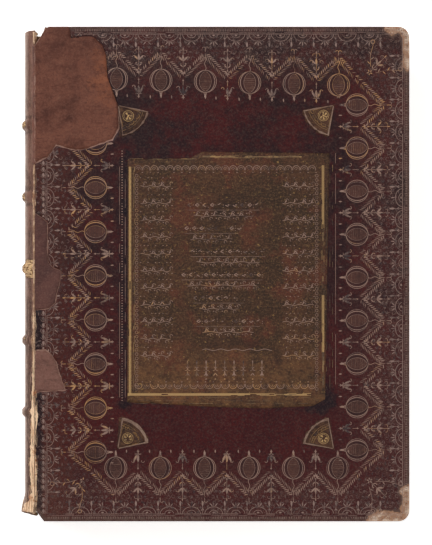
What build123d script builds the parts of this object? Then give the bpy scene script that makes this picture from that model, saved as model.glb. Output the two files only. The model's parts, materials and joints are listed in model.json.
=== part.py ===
"""An antique leather-bound folio.

Two laced boards, a sewn block of leaves on raised cords, and a tight leather spine.
Millimetres, +Z up. The closed book lies on its back cover, spine towards -X and head towards +Y.
The origin is at the centre of the base of its overall box.
"""

import os
from math import asin, cos, degrees, radians, sin, sqrt

from build123d import *

# ---- Driving dimensions ----
cover_length = 330.0  # head to tail of a covered board
cover_width = 250.0  # joint to fore edge of a covered board
board_thickness = 4.5
leather = 0.9  # covering leather on the boards
turn_in_leather = 0.4  # pared leather on the inside of a board
turn_in_width = 16.0
pastedown_paper = 0.2
pastedown_margin = 3.0  # turn-in left bare outside the pastedown
leaves_thickness = 32.0
endleaf_thickness = 0.2
square = 6.0  # how far the covers stand out beyond the leaves
fore_edge_hollow = 4.5  # depth of the concave fore edge

spine_round = 8.0  # how far the spine bulges beyond the joints
spine_leather_thickness = 1.2
lining_thickness = 0.2
lining_space = 0.3
band_height = 2.0  # raised band above the spine
band_width = 6.4
band_count = 5
band_pitch = 48.2
band_centre = 3.6  # Y of the middle band
cord_width = 2.2
cord_parting = 0.2
headcap = 3.5  # spine leather beyond the leaves at the head
tail_loss = 1.0  # spine leather worn short of the leaves at the tail
endband_diameter = 2.5

fore_corner_radius = 7.5
head_back_corner = (7.5, 12.5)  # board corner cut away at the joint, along X and Y
tail_back_corner = (6.0, 8.0)
cover_edge_round = 0.6

panel_leather = 0.5
fan_leather = 0.3
patch_rise = 0.2  # patch leather above the old leather round it
fan_radius = 21.0  # along the straight sides
fan_crown = 1.2  # how far each scallop stands out beyond that
fan_spread = 71.0  # degrees
fan_from_joint = 55.0
fan_from_fore_edge = 50.0
fan_from_head = 52.0
fan_from_tail = 48.0
fan_scallops = 5

slip_length = 24.0
slip_width = 6.0
slip_spread = 14.0  # width of the frayed end
slip_thickness = 0.5

joint_gap = 0.3  # free leather at each joint
leaf_gap = 0.3  # air between a cover and the leaves
seam = 0.05  # between pieces glued edge to edge

# ---- Levels and lines that follow ----
overall_width = cover_width + spine_round + band_height
fore_x = overall_width / 2
joint_x = fore_x - cover_width
cover_x = joint_x + joint_gap
head_y = cover_length / 2
leaves_half = head_y - square
leaves_fore_x = fore_x - square

inner_skin = turn_in_leather + pastedown_paper
cover_thickness = leather + board_thickness + inner_skin
leaves_low = cover_thickness + leaf_gap + endleaf_thickness
leaves_high = leaves_low + leaves_thickness
closed_thickness = leaves_high + endleaf_thickness + leaf_gap + cover_thickness
mid_z = closed_thickness / 2

band_ys = [band_centre + band_pitch * (i - (band_count - 1) / 2) for i in range(band_count)]


def round_through_joints(depth):
    """Radius, and centre X, of the round that bulges by depth between the outer corners of both joints."""
    radius = (mid_z**2 + depth**2) / (2 * depth)
    return radius, joint_x - depth + radius


spine_radius, spine_axis_x = round_through_joints(spine_round)
band_radius, band_axis_x = round_through_joints(spine_round + band_height)
back_radius = spine_radius - spine_leather_thickness - lining_space  # round of the sewn back


# ---- Outlines ----
def cover_outline(edge_inset):
    """A board's plan, drawn in from head, tail and fore edge by edge_inset."""
    low_x = cover_x
    high_x = fore_x - edge_inset
    half = head_y - edge_inset
    with BuildSketch(mode=Mode.PRIVATE) as plan:
        with BuildLine():
            Polyline(
                (low_x, half - head_back_corner[1]),
                (low_x + head_back_corner[0], half),
                (high_x, half),
                (high_x, -half),
                (low_x + tail_back_corner[0], -half),
                (low_x, -half + tail_back_corner[1]),
                close=True,
            )
        make_face()
        fillet(plan.vertices().group_by(Axis.X)[-1], fore_corner_radius - edge_inset)
    return plan.sketch_local


def torn_outline(points):
    """A torn piece's plan, closed behind the joint. A point is (distance from the joint, Y)."""
    tear = [(cover_x + x, y) for x, y in points]
    behind = cover_x - square
    with BuildSketch(mode=Mode.PRIVATE) as plan:
        with BuildLine():
            Polyline((behind, tear[0][1]), *tear, (behind, tear[-1][1]), close=True)
        make_face()
    return plan.sketch_local


head_tear = torn_outline(
    [
        (22.0, head_y + square),
        (24.0, head_y - 7.8),
        (34.0, head_y - 6.0),
        (39.0, head_y - 6.6),
        (45.4, head_y - 13.0),
        (47.4, head_y - 19.0),
        (48.4, head_y - 34.0),
        (53.0, head_y - 46.5),
        (55.4, head_y - 53.0),
        (56.0, head_y - 68.0),
        (51.8, head_y - 75.5),
        (35.0, head_y - 81.5),
        (27.3, head_y - 82.6),
        (14.0, head_y - 79.2),
        (9.0, head_y - 86.8),
        (0.0, head_y - 91.5),
    ]
)
middle_tear = torn_outline(
    [
        (0.0, 40.5),
        (4.3, 38.0),
        (8.3, 34.6),
        (8.7, 8.0),
        (12.3, 4.0),
        (17.7, 2.0),
        (16.7, -6.0),
        (15.0, -10.7),
        (13.7, -19.3),
        (9.0, -23.3),
        (0.0, -24.2),
    ]
)
lower_tear = torn_outline(
    [
        (0.0, -51.0),
        (7.0, -50.6),
        (11.0, -53.8),
        (14.3, -58.5),
        (16.5, -66.7),
        (20.5, -77.6),
        (2.9, -78.7),
        (0.0, -80.0),
    ]
)
tears = {"head_patch": head_tear, "middle_patch": middle_tear, "lower_patch": lower_tear}


def round_bar(radius, axis_x, start_y, end_y, end_x=joint_x):
    """The part of a round that lies behind end_x, from start_y to end_y."""
    rise = sqrt(radius**2 - (end_x - axis_x) ** 2)
    with BuildPart(mode=Mode.PRIVATE) as bar:
        with BuildSketch(Plane.XZ.offset(-end_y)):
            with BuildLine():
                ThreePointArc((end_x, mid_z - rise), (axis_x - radius, mid_z), (end_x, mid_z + rise))
                Line((end_x, mid_z + rise), (end_x, mid_z - rise))
            make_face()
        extrude(amount=end_y - start_y)
    return bar.part


def save(piece, name):
    """Labels a finished piece and writes its STEP file."""
    piece.label = name
    export_step(piece, f"parts/{name}.step")


# ---- Covers ----
# Each cover's pieces are built lying outer face down, as the back cover does. The front cover mirrors them.
board_low = leather
board_high = leather + board_thickness
skin_high = board_high + turn_in_leather


def slip_outline():
    """One laced cord end, frayed out like a fan, in every band's place."""
    with BuildSketch(mode=Mode.PRIVATE) as plan:
        with Locations(*[(cover_x, y) for y in band_ys]):
            Polygon(
                (0, -slip_width / 2),
                (slip_length, -slip_spread / 2),
                (slip_length, slip_spread / 2),
                (0, slip_width / 2),
                align=None,
            )
    return plan.sketch_local


def make_board():
    with BuildPart() as board:
        with BuildSketch(Plane.XY.offset(board_low)):
            add(cover_outline(leather))
        extrude(amount=board_thickness)
        with BuildSketch(Plane.XY.offset(board_low)):
            add(slip_outline())
        extrude(amount=slip_thickness, mode=Mode.SUBTRACT)
    return board.part


def make_slips():
    with BuildPart() as slips:
        with BuildSketch(Plane.XY.offset(board_low)):
            add(slip_outline())
        extrude(amount=slip_thickness)
    return slips.part


def make_covering():
    """Leather over the outside and three edges of a board, turned in on the inside."""
    with BuildPart() as covering:
        with BuildSketch():
            add(cover_outline(0))
        extrude(amount=skin_high)
        outer_edges = covering.edges().group_by(Axis.Z)[0]
        fillet(outer_edges.filter_by(lambda e: e.center().X > cover_x + seam), cover_edge_round)
        with BuildSketch(Plane.XY.offset(board_low)):
            add(cover_outline(leather))
        extrude(amount=board_thickness, mode=Mode.SUBTRACT)
        with BuildSketch(Plane.XY.offset(board_high)):
            add(inside_window(turn_in_width))
        extrude(amount=turn_in_leather, mode=Mode.SUBTRACT)
    return covering.part


def inside_window(inset):
    """The rectangle inside the turn-ins, open to the joint."""
    with BuildSketch(mode=Mode.PRIVATE) as plan:
        with BuildLine():
            Polyline(
                (cover_x, head_y - inset),
                (fore_x - inset, head_y - inset),
                (fore_x - inset, inset - head_y),
                (cover_x, inset - head_y),
                close=True,
            )
        make_face()
    return plan.sketch_local


def make_pastedown():
    """The leaf pasted over the turn-ins, with the filling that levels the board between them."""
    with BuildPart() as pastedown:
        with BuildSketch(Plane.XY.offset(board_high)):
            add(inside_window(turn_in_width + seam))
        extrude(amount=turn_in_leather)
        with BuildSketch(Plane.XY.offset(skin_high)):
            add(cover_outline(pastedown_margin))
        extrude(amount=pastedown_paper)
    return pastedown.part


mirror_plane = Plane.XY.offset(mid_z)


def make_back_cover():
    save(make_board(), "back_board")
    save(make_covering(), "back_cover_leather")
    save(make_pastedown(), "back_pastedown")
    save(make_slips(), "back_lacing_slips")


def mirrored(piece):
    """The front cover's copy of a back cover piece."""
    with BuildPart() as copy:
        mirror(piece, about=mirror_plane)
    return copy.part


def make_front_cover():
    save(mirrored(make_board()), "front_board")
    save(mirrored(make_pastedown()), "front_pastedown")
    save(mirrored(make_slips()), "front_lacing_slips")

    with BuildPart() as front_leather:
        add(mirrored(make_covering()))
        for tear in tears.values():
            with BuildSketch(Plane.XY.offset(closed_thickness - leather)):
                add(tear)
            extrude(amount=leather, mode=Mode.SUBTRACT)
    save(front_leather.part, "front_cover_leather")

    for name, tear in tears.items():
        with BuildPart() as patch:
            with BuildSketch(Plane.XY.offset(closed_thickness - leather)):
                add(cover_outline(cover_edge_round))
            extrude(amount=leather + patch_rise)
            with BuildSketch(Plane.XY.offset(closed_thickness - leather)):
                add(tear)
                offset(amount=-seam)
            extrude(amount=leather + patch_rise, mode=Mode.INTERSECT)
        save(patch.part, name)


# ---- Onlays on the front cover ----
panel_low = (61.7, 75.5)  # panel's spine-tail corner from the joint and from the tail
panel_size = (135.0, 171.0)
panel_step = 5.0  # the head edge steps up part of the way along


def make_centre_panel():
    low_x = joint_x + panel_low[0]
    low_y = panel_low[1] - head_y
    high_x = low_x + panel_size[0]
    high_y = low_y + panel_size[1]
    with BuildPart() as panel:
        with BuildSketch(Plane.XY.offset(closed_thickness)):
            with BuildLine():
                Polyline(
                    (low_x, low_y + 4.0),
                    (low_x + 60.0, low_y + 0.8),
                    (low_x + 92.0, low_y),
                    (high_x - 11.0, low_y + 1.5),
                    (high_x - 3.0, low_y + 6.0),
                    (high_x, high_y - 1.0),
                    (low_x + 50.0, high_y),
                    (low_x + 42.0, high_y - panel_step + 0.8),
                    (low_x + 0.5, high_y - panel_step),
                    close=True,
                )
            make_face()
        extrude(amount=panel_leather)
    save(panel.part, "centre_panel")


def fan_outline(point, towards):
    """A fan with its point at a place and its scalloped edge facing the direction towards, in degrees."""
    step = fan_spread / fan_scallops
    rim = [towards - fan_spread / 2 + step * i for i in range(fan_scallops + 1)]
    crown = fan_radius + fan_crown

    def at(radius, angle):
        return (point[0] + radius * cos(radians(angle)), point[1] + radius * sin(radians(angle)))

    with BuildSketch(mode=Mode.PRIVATE) as plan:
        with BuildLine():
            Line(point, at(fan_radius, rim[0]))
            for start, end in zip(rim, rim[1:]):
                ThreePointArc(at(fan_radius, start), at(crown, (start + end) / 2), at(fan_radius, end))
            Line(at(fan_radius, rim[-1]), point)
        make_face()
    return plan.sketch_local


def make_corner_fans():
    near_joint = joint_x + fan_from_joint
    near_fore = fore_x - fan_from_fore_edge
    high = head_y - fan_from_head
    low = fan_from_tail - head_y
    places = {
        "corner_fan_head_spine": ((near_joint, high), -50),
        "corner_fan_head_fore": ((near_fore, high), -135),
        "corner_fan_tail_spine": ((near_joint, low), 51),
        "corner_fan_tail_fore": ((near_fore, low), 135),
    }
    for name, (point, towards) in places.items():
        with BuildPart() as fan:
            with BuildSketch(Plane.XY.offset(closed_thickness)):
                add(fan_outline(point, towards))
                add(head_tear, mode=Mode.SUBTRACT)
            extrude(amount=fan_leather)
        save(fan.part, name)


# ---- Leaves ----
def make_text_block():
    shoulder = sqrt(back_radius**2 - (joint_x - spine_axis_x) ** 2)
    with BuildPart() as block:
        with BuildSketch(Plane.XZ.offset(-leaves_half)):
            with BuildLine():
                Polyline(
                    (joint_x, mid_z + shoulder),
                    (joint_x, leaves_high),
                    (leaves_fore_x, leaves_high),
                )
                ThreePointArc(
                    (leaves_fore_x, leaves_high),
                    (leaves_fore_x - fore_edge_hollow, mid_z),
                    (leaves_fore_x, leaves_low),
                )
                Polyline(
                    (leaves_fore_x, leaves_low),
                    (joint_x, leaves_low),
                    (joint_x, mid_z - shoulder),
                )
                ThreePointArc(
                    (joint_x, mid_z - shoulder),
                    (spine_axis_x - back_radius, mid_z),
                    (joint_x, mid_z + shoulder),
                )
            make_face()
        extrude(amount=2 * leaves_half)
    save(block.part, "text_block")


def make_endleaf(low_z, name):
    with BuildPart() as endleaf:
        with BuildSketch(Plane.XY.offset(low_z)):
            with Locations(((cover_x + leaves_fore_x) / 2, 0)):
                Rectangle(leaves_fore_x - cover_x, 2 * leaves_half)
        extrude(amount=endleaf_thickness)
    save(endleaf.part, name)


# ---- Spine ----
spine_head = leaves_half + headcap
spine_tail = tail_loss - leaves_half


def make_band_cords():
    """A double cord under each raised band."""
    inner = back_radius + seam
    outer = band_radius - spine_leather_thickness - seam
    end_x = joint_x - 2 * joint_gap
    for number, band_y in enumerate(band_ys, 1):
        with BuildPart() as cords:
            for side in (-1, 1):
                middle = band_y + side * (cord_width + cord_parting) / 2
                add(round_bar(outer, band_axis_x, middle - cord_width / 2, middle + cord_width / 2, end_x))
            add(
                round_bar(inner, spine_axis_x, band_y - band_width, band_y + band_width),
                mode=Mode.SUBTRACT,
            )
        save(cords.part, f"band_cord_{number}")


def make_spine_leather():
    inner = spine_radius - spine_leather_thickness
    cords_radius = band_radius - spine_leather_thickness
    cords_half = cord_width + cord_parting / 2
    with BuildPart() as spine:
        add(round_bar(spine_radius, spine_axis_x, spine_tail, spine_head))
        for band_y in band_ys:
            add(round_bar(band_radius, band_axis_x, band_y - band_width / 2, band_y + band_width / 2))
        add(round_bar(inner, spine_axis_x, -head_y, head_y), mode=Mode.SUBTRACT)
        for band_y in band_ys:
            add(
                round_bar(cords_radius, band_axis_x, band_y - cords_half, band_y + cords_half),
                mode=Mode.SUBTRACT,
            )
    save(spine.part, "spine_leather")


def make_spine_lining():
    """Parchment pasted on the back of the leaves, one panel between each two bands and at each end."""
    inner = back_radius + seam
    outer = inner + lining_thickness
    stops = [spine_tail, *band_ys, leaves_half]
    with BuildPart() as lining:
        for low, high in zip(stops, stops[1:]):
            start = low + (band_width / 2 if low in band_ys else 0)
            end = high - (band_width / 2 if high in band_ys else 0)
            add(round_bar(outer, spine_axis_x, start, end))
        add(round_bar(inner, spine_axis_x, -head_y, head_y), mode=Mode.SUBTRACT)
    save(lining.part, "spine_lining")


def make_endband(name, side):
    """A round core lying on the end of the leaves, along the inside of the spine."""
    core_radius = endband_diameter / 2
    line_radius = back_radius - core_radius
    span = 2 * degrees(asin((leaves_thickness / 2) / line_radius))
    centre_y = side * (leaves_half + core_radius)
    across = Plane(
        origin=(spine_axis_x, centre_y, mid_z),
        x_dir=(-cos(radians(span / 2)), 0, -sin(radians(span / 2))),
        z_dir=(-sin(radians(span / 2)), 0, cos(radians(span / 2))),
    )
    axis = Axis((spine_axis_x, centre_y, mid_z), (0, 1, 0))
    with BuildPart() as endband:
        with BuildSketch(across):
            with Locations((line_radius, 0)):
                Circle(core_radius)
        revolve(axis=axis, revolution_arc=span)
    save(endband.part, name)


os.makedirs("parts", exist_ok=True)
make_back_cover()
make_text_block()
make_endleaf(leaves_low - endleaf_thickness, "back_endleaf")
make_endleaf(leaves_high, "front_endleaf")
make_band_cords()
make_spine_lining()
make_endband("head_endband", 1)
make_endband("tail_endband", -1)
make_spine_leather()
make_front_cover()
make_centre_panel()
make_corner_fans()
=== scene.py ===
import json
import math
import random

import bpy
import numpy as np
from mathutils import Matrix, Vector, noise
from mathutils.geometry import delaunay_2d_cdt


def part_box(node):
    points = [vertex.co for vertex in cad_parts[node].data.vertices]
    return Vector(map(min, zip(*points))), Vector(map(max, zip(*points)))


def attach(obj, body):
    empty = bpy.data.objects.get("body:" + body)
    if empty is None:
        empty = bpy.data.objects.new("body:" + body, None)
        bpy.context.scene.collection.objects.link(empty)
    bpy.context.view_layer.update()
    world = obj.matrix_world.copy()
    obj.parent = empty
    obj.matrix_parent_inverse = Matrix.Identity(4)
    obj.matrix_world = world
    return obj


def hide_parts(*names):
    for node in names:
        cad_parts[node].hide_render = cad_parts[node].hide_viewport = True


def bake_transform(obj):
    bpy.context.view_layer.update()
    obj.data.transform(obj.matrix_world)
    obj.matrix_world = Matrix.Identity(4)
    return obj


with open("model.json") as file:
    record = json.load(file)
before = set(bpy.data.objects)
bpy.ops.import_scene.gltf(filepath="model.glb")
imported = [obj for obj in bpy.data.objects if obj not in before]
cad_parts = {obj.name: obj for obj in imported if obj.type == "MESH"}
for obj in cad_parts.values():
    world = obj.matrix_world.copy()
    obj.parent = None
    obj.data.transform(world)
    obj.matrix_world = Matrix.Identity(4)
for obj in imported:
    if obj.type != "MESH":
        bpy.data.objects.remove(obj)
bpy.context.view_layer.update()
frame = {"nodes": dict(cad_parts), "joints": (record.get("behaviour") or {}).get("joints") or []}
mm = 0.001

# where the closed book's main lines are, read off the frame
boardLow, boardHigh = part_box("front_cover_leather")
spineLow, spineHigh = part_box("spine_leather")
leavesLow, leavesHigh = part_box("text_block")
frontPivot = next(j for j in frame["joints"] if j["name"] == "front_hinge")["pos_m"]
jointX = frontPivot[0]
coverX = boardLow.x  # where the boards begin
foreX = boardHigh.x
headY = boardHigh.y
topZ = boardHigh.z  # upper face of the front cover
midZ = topZ / 2


# shapes
def drift(x, y, size, seed=0.0):
    # slow unevenness between -1 and 1, size being the length of a wave
    return noise.noise(Vector((x / size, y / size, seed)))


def smooth(value, low, high):
    t = min(1.0, max(0.0, (value - low) / (high - low)))
    return t * t * (3 - 2 * t)


def makePiece(name, points, faces, finish, body=None, slot=None, soft=True):
    mesh = bpy.data.meshes.new(name)
    mesh.from_pydata([tuple(p) for p in points], [], faces)
    mesh.update()
    if soft:
        mesh.shade_smooth()
    mesh.materials.append(finish)
    piece = bpy.data.objects.new(name, mesh)
    bpy.context.scene.collection.objects.link(piece)
    if body:
        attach(piece, body)
    return piece


def paint(piece, **values):
    # a number for every point, which the finish reads by name
    for name, numbers in values.items():
        layer = piece.data.attributes.new(name, "FLOAT", "POINT")
        layer.data.foreach_set("value", np.array(numbers, np.float32))


def thicken(piece, thickness):
    skin = piece.modifiers.new("thickness", "SOLIDIFY")
    skin.thickness = thickness
    skin.offset = -1
    skin.use_even_offset = False


def gridFaces(rows, closed=False, turned=False):
    # four-sided faces between rows of point numbers
    faces = []
    for low, high in zip(rows, rows[1:]):
        for k in range(len(low) if closed else len(low) - 1):
            n = (k + 1) % len(low)
            faces.append((low[k], low[n], high[n], high[k]) if turned else (low[k], high[k], high[n], low[n]))
    return faces


def numbered(rows, columns, first=0):
    # point numbers of a grid that was laid row by row
    return [range(first + columns * i, first + columns * (i + 1)) for i in range(rows)]


def around(radius, degrees, stretch=1.0):
    # the place at this distance and angle from the middle
    angle = math.radians(degrees)
    return radius * math.cos(angle), radius * stretch * math.sin(angle)


def flatOutline(node, up=1):
    # the edge of a CAD piece's outer flat face, in order, anticlockwise seen from outside
    mesh = frame["nodes"][node].data
    key = lambda i: tuple(round(c, 6) for c in mesh.vertices[i].co)
    level = max(v.co.z * up for v in mesh.vertices)
    following = set()
    for face in mesh.polygons:
        if face.normal.z * up < 0.999 or abs(face.center.z * up - level) > 0.02 * mm:
            continue
        ring = [key(i) for i in face.vertices]
        following.update(zip(ring, ring[1:] + ring[:1]))
    edges = {a: b for a, b in following if (b, a) not in following}
    loops = []
    while edges:
        start, spot = edges.popitem()
        loop = [start]
        while spot != start:
            loop.append(spot)
            spot = edges.pop(spot)
        loops.append([(x, y) for x, y, z in loop])
    return max(loops, key=len)


def evenOutline(loop, step):
    # the same outline with no side longer than step and no crowded points
    kept = []
    for spot in loop:
        if not kept or math.dist(spot, kept[-1]) > 0.25 * mm:
            kept.append(spot)
    fine = []
    for a, b in zip(kept, kept[1:] + kept[:1]):
        parts = max(1, math.ceil(math.dist(a, b) / step))
        fine += [(a[0] + (b[0] - a[0]) * i / parts, a[1] + (b[1] - a[1]) * i / parts) for i in range(parts)]
    return fine


def gapTo(points, line, closed=True):
    # distance of each point from a line of points
    points = np.asarray(points, float)
    ends = np.asarray(line, float)
    nearest = np.full(len(points), 1e9)
    last = len(ends) if closed else len(ends) - 1
    for i in range(last):
        a, b = ends[i], ends[(i + 1) % len(ends)]
        d = b - a
        t = np.clip(((points - a) @ d) / max(d @ d, 1e-18), 0, 1)
        nearest = np.minimum(nearest, np.hypot(*(points - a - t[:, None] * d).T))
    return nearest


def inside(points, loop):
    points = np.asarray(points, float)
    hit = np.zeros(len(points), bool)
    for (ax, ay), (bx, by) in zip(loop, loop[1:] + loop[:1]):
        if ay == by:
            continue
        over = (ay > points[:, 1]) != (by > points[:, 1])
        hit ^= over & (points[:, 0] < (bx - ax) * (points[:, 1] - ay) / (by - ay) + ax)
    return hit


def fillSheet(loop, spacing):
    # triangles over an outline: its own points come first, in order
    xs, ys = zip(*loop)
    rowStep = spacing * 0.87
    spots = []
    for row in range(int((max(ys) - min(ys)) / rowStep) + 1):
        for column in range(int((max(xs) - min(xs)) / spacing) + 1):
            spots.append((min(xs) + spacing * (column + 0.5 * (row % 2)), min(ys) + rowStep * row))
    spots = np.array(spots)
    keep = inside(spots, loop) & (gapTo(spots, loop) > spacing * 0.45)
    points = [Vector(p) for p in (*loop, *spots[keep])]
    made = delaunay_2d_cdt(points, [], [list(range(len(loop)))], 1, 1e-7)
    place = {old: new for new, olds in enumerate(made[3]) for old in olds}
    order = {place[i]: i for i in range(len(points)) if i in place}
    faces = [tuple(order[i] for i in face) for face in made[2] if all(i in order for i in face)]
    return [tuple(p) for p in points], faces


def pieceName(node):
    first, *others = node.split("_")
    return first + "".join(word.capitalize() for word in others)


def coverRise(x, y):
    # the slight warp and cockle of the boards
    return (0.10 * drift(x, y, 90 * mm, 3.0) + 0.05 * drift(x, y, 17 * mm, 5.0)) * mm


def onCover(proud=0.0):
    # gives the height of the front cover at any place, or of an overlay this thick
    return lambda x, y: topZ + coverRise(x, y) + proud


# finishes
def tone(red, green, blue):
    # a colour given in screen values, turned to the linear values that shaders take
    levels = [level / 255 for level in (red, green, blue)]
    return (*(v / 12.92 if v < 0.04045 else ((v + 0.055) / 1.055) ** 2.4 for v in levels), 1)


class Finish:
    # one finish while it is being mixed: sizes and depths in mm, masks from 0 to 1,
    # and base being the colour so far
    def __init__(self, name, rough, specular):
        self.material = bpy.data.materials.new(name)
        self.material.use_nodes = True
        self.tree = self.material.node_tree
        self.shader = self.tree.nodes["Principled BSDF"]
        self.set("Roughness", rough)
        self.set("Specular IOR Level", specular)
        self.place = self.add("TexCoord").outputs["Object"]

    def plug(self, socket, value):
        if isinstance(value, bpy.types.NodeSocket):
            self.tree.links.new(value, socket)
        else:
            socket.default_value = value

    def set(self, socket, value):
        self.plug(self.shader.inputs[socket], value)

    def add(self, kind, plugs=None, **settings):
        node = self.tree.nodes.new("ShaderNode" + kind)
        for key, value in settings.items():
            setattr(node, key, value)
        for key, value in (plugs or {}).items():
            self.plug(node.inputs[key], value)
        return node

    def where(self, stretch=(1, 1, 1), shift=(0, 0, 0)):
        plugs = {"Vector": self.place, "Scale": stretch, "Location": shift}
        return self.add("Mapping", plugs).outputs["Vector"]

    def mottle(self, size, detail, rough, stretch=(1, 1, 1), shift=(0, 0, 0), warp=0.0):
        # cloudy variation, size being the width of a patch
        plugs = {"Vector": self.where(stretch, shift), "Scale": 1 / (size * mm), "Detail": detail}
        return self.add("TexNoise", {**plugs, "Roughness": rough, "Distortion": warp}).outputs[0]

    def axis(self, letter):
        return self.add("SeparateXYZ", {"Vector": self.place}).outputs[letter]

    def painted(self, name):
        return self.add("Attribute", attribute_name=name).outputs["Fac"]

    def steps(self, value, low, high, start=0.0, end=1.0):
        plugs = {0: value, 1: low, 2: high, 3: start, 4: end}
        return self.add("MapRange", plugs, interpolation_type="SMOOTHSTEP").outputs[0]

    def patches(self, size, low, high, detail, rough, *place, start=0.0, end=1.0, **more):
        # mottle with its in-between values taken out
        return self.steps(self.mottle(size, detail, rough, *place, **more), low, high, start, end)

    def frayed(self, name, size, low, high, detail, rough, shift=(0, 0, 0)):
        # what is painted, with ragged outlines
        fray = self.patches(size, 0.2, 0.8, detail, rough, shift=shift, start=low, end=high)
        return self.plus(self.painted(name), fray)

    def maths(self, operation, first, second, clamped=False):
        return self.add("Math", {0: first, 1: second}, operation=operation, use_clamp=clamped).outputs[0]

    def times(self, first, second):
        return self.maths("MULTIPLY", first, second)

    def plus(self, first, second):
        return self.maths("ADD", first, second)

    def together(self, first, share, second):
        # two masks in one, the first having this share
        return self.plus(self.times(first, share), self.times(second, 1 - share))

    def mix(self, amount, first, second):
        return self.add("Mix", {0: amount, 6: first, 7: second}, data_type="RGBA").outputs[2]

    def coat(self, colour, mask, share=None):
        # lays a colour over the base
        self.base = self.mix(mask if share is None else self.times(mask, share), self.base, colour)

    def relief(self, height, depth):
        bump = self.add("Bump", {"Height": height, "Distance": depth * mm, "Strength": 1.0})
        self.set("Normal", bump.outputs["Normal"])

    def done(self):
        self.set("Base Color", self.base)
        return self.material


def leatherGrain(f, size, depth):
    pores = f.add("TexVoronoi", {"Vector": f.where(), "Scale": 1 / (size * mm)}, feature="F1")
    creases = f.mottle(size * 3, 6.0, 0.65)
    f.relief(f.maths("ADD", pores.outputs["Distance"], creases, clamped=True), depth)


def speckled(f, light, dark, amount):
    # the fine salt and pepper of old leather
    pale = f.patches(1.3, 0.44, 0.76, 3.0, 0.7)
    f.coat(dark, f.patches(1.5, 0.54, 0.34, 4.0, 0.75, shift=(5, 5, 0)), amount)
    f.coat(light, pale, amount * 0.75)


coveringLook = {
    "dark": tone(40, 23, 26),
    "oxblood": tone(72, 23, 24),
    "brown": tone(88, 46, 36),
    "ink": tone(24, 20, 26),  # blue-black, for the darkening round the panel and beside the joint, and for dark specks
    "dusty": tone(92, 70, 62),
    "speck": tone(150, 124, 112),
    "tan": tone(162, 122, 96),
    "bare": tone(214, 190, 170),
}


def coveringFinish():
    look = coveringLook
    f = Finish("oxbloodCalf", 0.48, 0.13)
    cloud = f.together(f.mottle(30, 6.0, 0.7), 0.7, f.mottle(6, 5.0, 0.7))
    f.base = f.mix(f.steps(cloud, 0.4, 0.62), look["dark"], look["oxblood"])
    f.coat(look["oxblood"], f.steps(f.axis("Y"), 40 * mm, -90 * mm), 0.65)  # redder towards the tail
    f.coat(look["brown"], f.steps(f.axis("X"), -84 * mm, -112 * mm), 0.55)  # browned beside the spine
    # darker round the panel and beside the joint
    f.coat(look["ink"], f.steps(f.frayed("inked", 5, -0.35, 0.35, 5.0, 0.7), 0.25, 0.8), 0.85)
    speckled(f, look["dusty"], look["ink"], 0.6)
    f.coat(look["dusty"], f.patches(3.2, 0.54, 0.72, 7.0, 0.8, (0.45, 1, 1), (2, 2, 0)), 0.32)
    # a dusty, rubbed border and a darker, polished field
    rim = f.painted("rim")
    f.coat(look["dusty"], f.patches(5, 0.44, 0.68, 8.0, 0.8), f.times(rim, 0.5))
    f.coat(look["speck"], f.patches(1.0, 0.52, 0.68, 3.0, 0.75, shift=(0, 8, 0)), f.times(rim, 0.42))
    # rubbed first dusty, then tan, then bare, with scabs of brown left on
    ragged = f.frayed("rubbed", 3, -0.3, 0.3, 6.0, 0.75)
    f.coat(look["dusty"], f.steps(ragged, 0.15, 0.5))
    f.coat(look["tan"], f.steps(ragged, 0.62, 0.8))
    f.coat(look["bare"], f.steps(ragged, 0.85, 1.1), f.patches(4, 0.4, 0.62, 6.0, 0.75, shift=(6, 0, 0)))
    scabs = f.patches(2.6, 0.54, 0.64, 6.0, 0.8, shift=(0, 6, 0))
    f.coat(look["brown"], f.times(f.steps(ragged, 0.7, 0.9), scabs), 0.8)
    f.set("Roughness", f.steps(ragged, 0.2, 0.8, 0.46, 0.8))
    leatherGrain(f, 0.9, 0.16)
    return f.done()


def plainLeatherFinish(name, dark, light, dust, amber=None):
    f = Finish(name, 0.6, 0.18)
    clouds = f.together(f.mottle(26, 4.0, 0.6, warp=0.6), 0.65, f.mottle(5, 6.0, 0.7))
    f.base = f.mix(f.steps(clouds, 0.36, 0.6), dark, light)
    if amber:
        f.coat(amber, f.steps(f.frayed("ambered", 8, -0.3, 0.3, 5.0, 0.7), 0.3, 0.9), 0.85)
    speckled(f, dust, dark, 0.45)
    f.coat(dust, f.patches(6, 0.56, 0.76, 6.0, 0.75, shift=(3, 0, 2)), 0.4)
    f.coat(dark, f.patches(1.8, 0.53, 0.68, 5.0, 0.7, (0.28, 1, 1), (1, 4, 0), warp=0.8), 0.6)  # wrinkles
    leatherGrain(f, 0.8, 0.24)
    return f.done()


def toolingFinish(name, blind, gold, wear, brightness):
    # impressions: leather polished by the tool, with what is left of the gold
    f = Finish(name, 0.5, 0.5)
    fine = f.mottle(1.6, 4.0, 0.7)
    kept = f.together(f.mottle(16, 5.0, 0.65, shift=(1, 3, 0)), 0.55, fine)
    kept = f.steps(f.plus(kept, f.times(f.painted("strength"), 0.5)), wear, wear + 0.28)
    golden = f.plus(f.painted("golden"), f.times(f.mottle(11, 4.0, 0.6), 0.6))
    golden = f.steps(golden, 0.55, 0.95)
    f.base = coveringLook["dark"]
    f.coat(f.mix(golden, blind, gold), kept)
    f.set("Metallic", f.times(f.times(golden, kept), brightness))
    f.set("Roughness", f.steps(kept, 0, 1, 0.6, 0.42))
    f.relief(fine, 0.06)
    return f.done()


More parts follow.
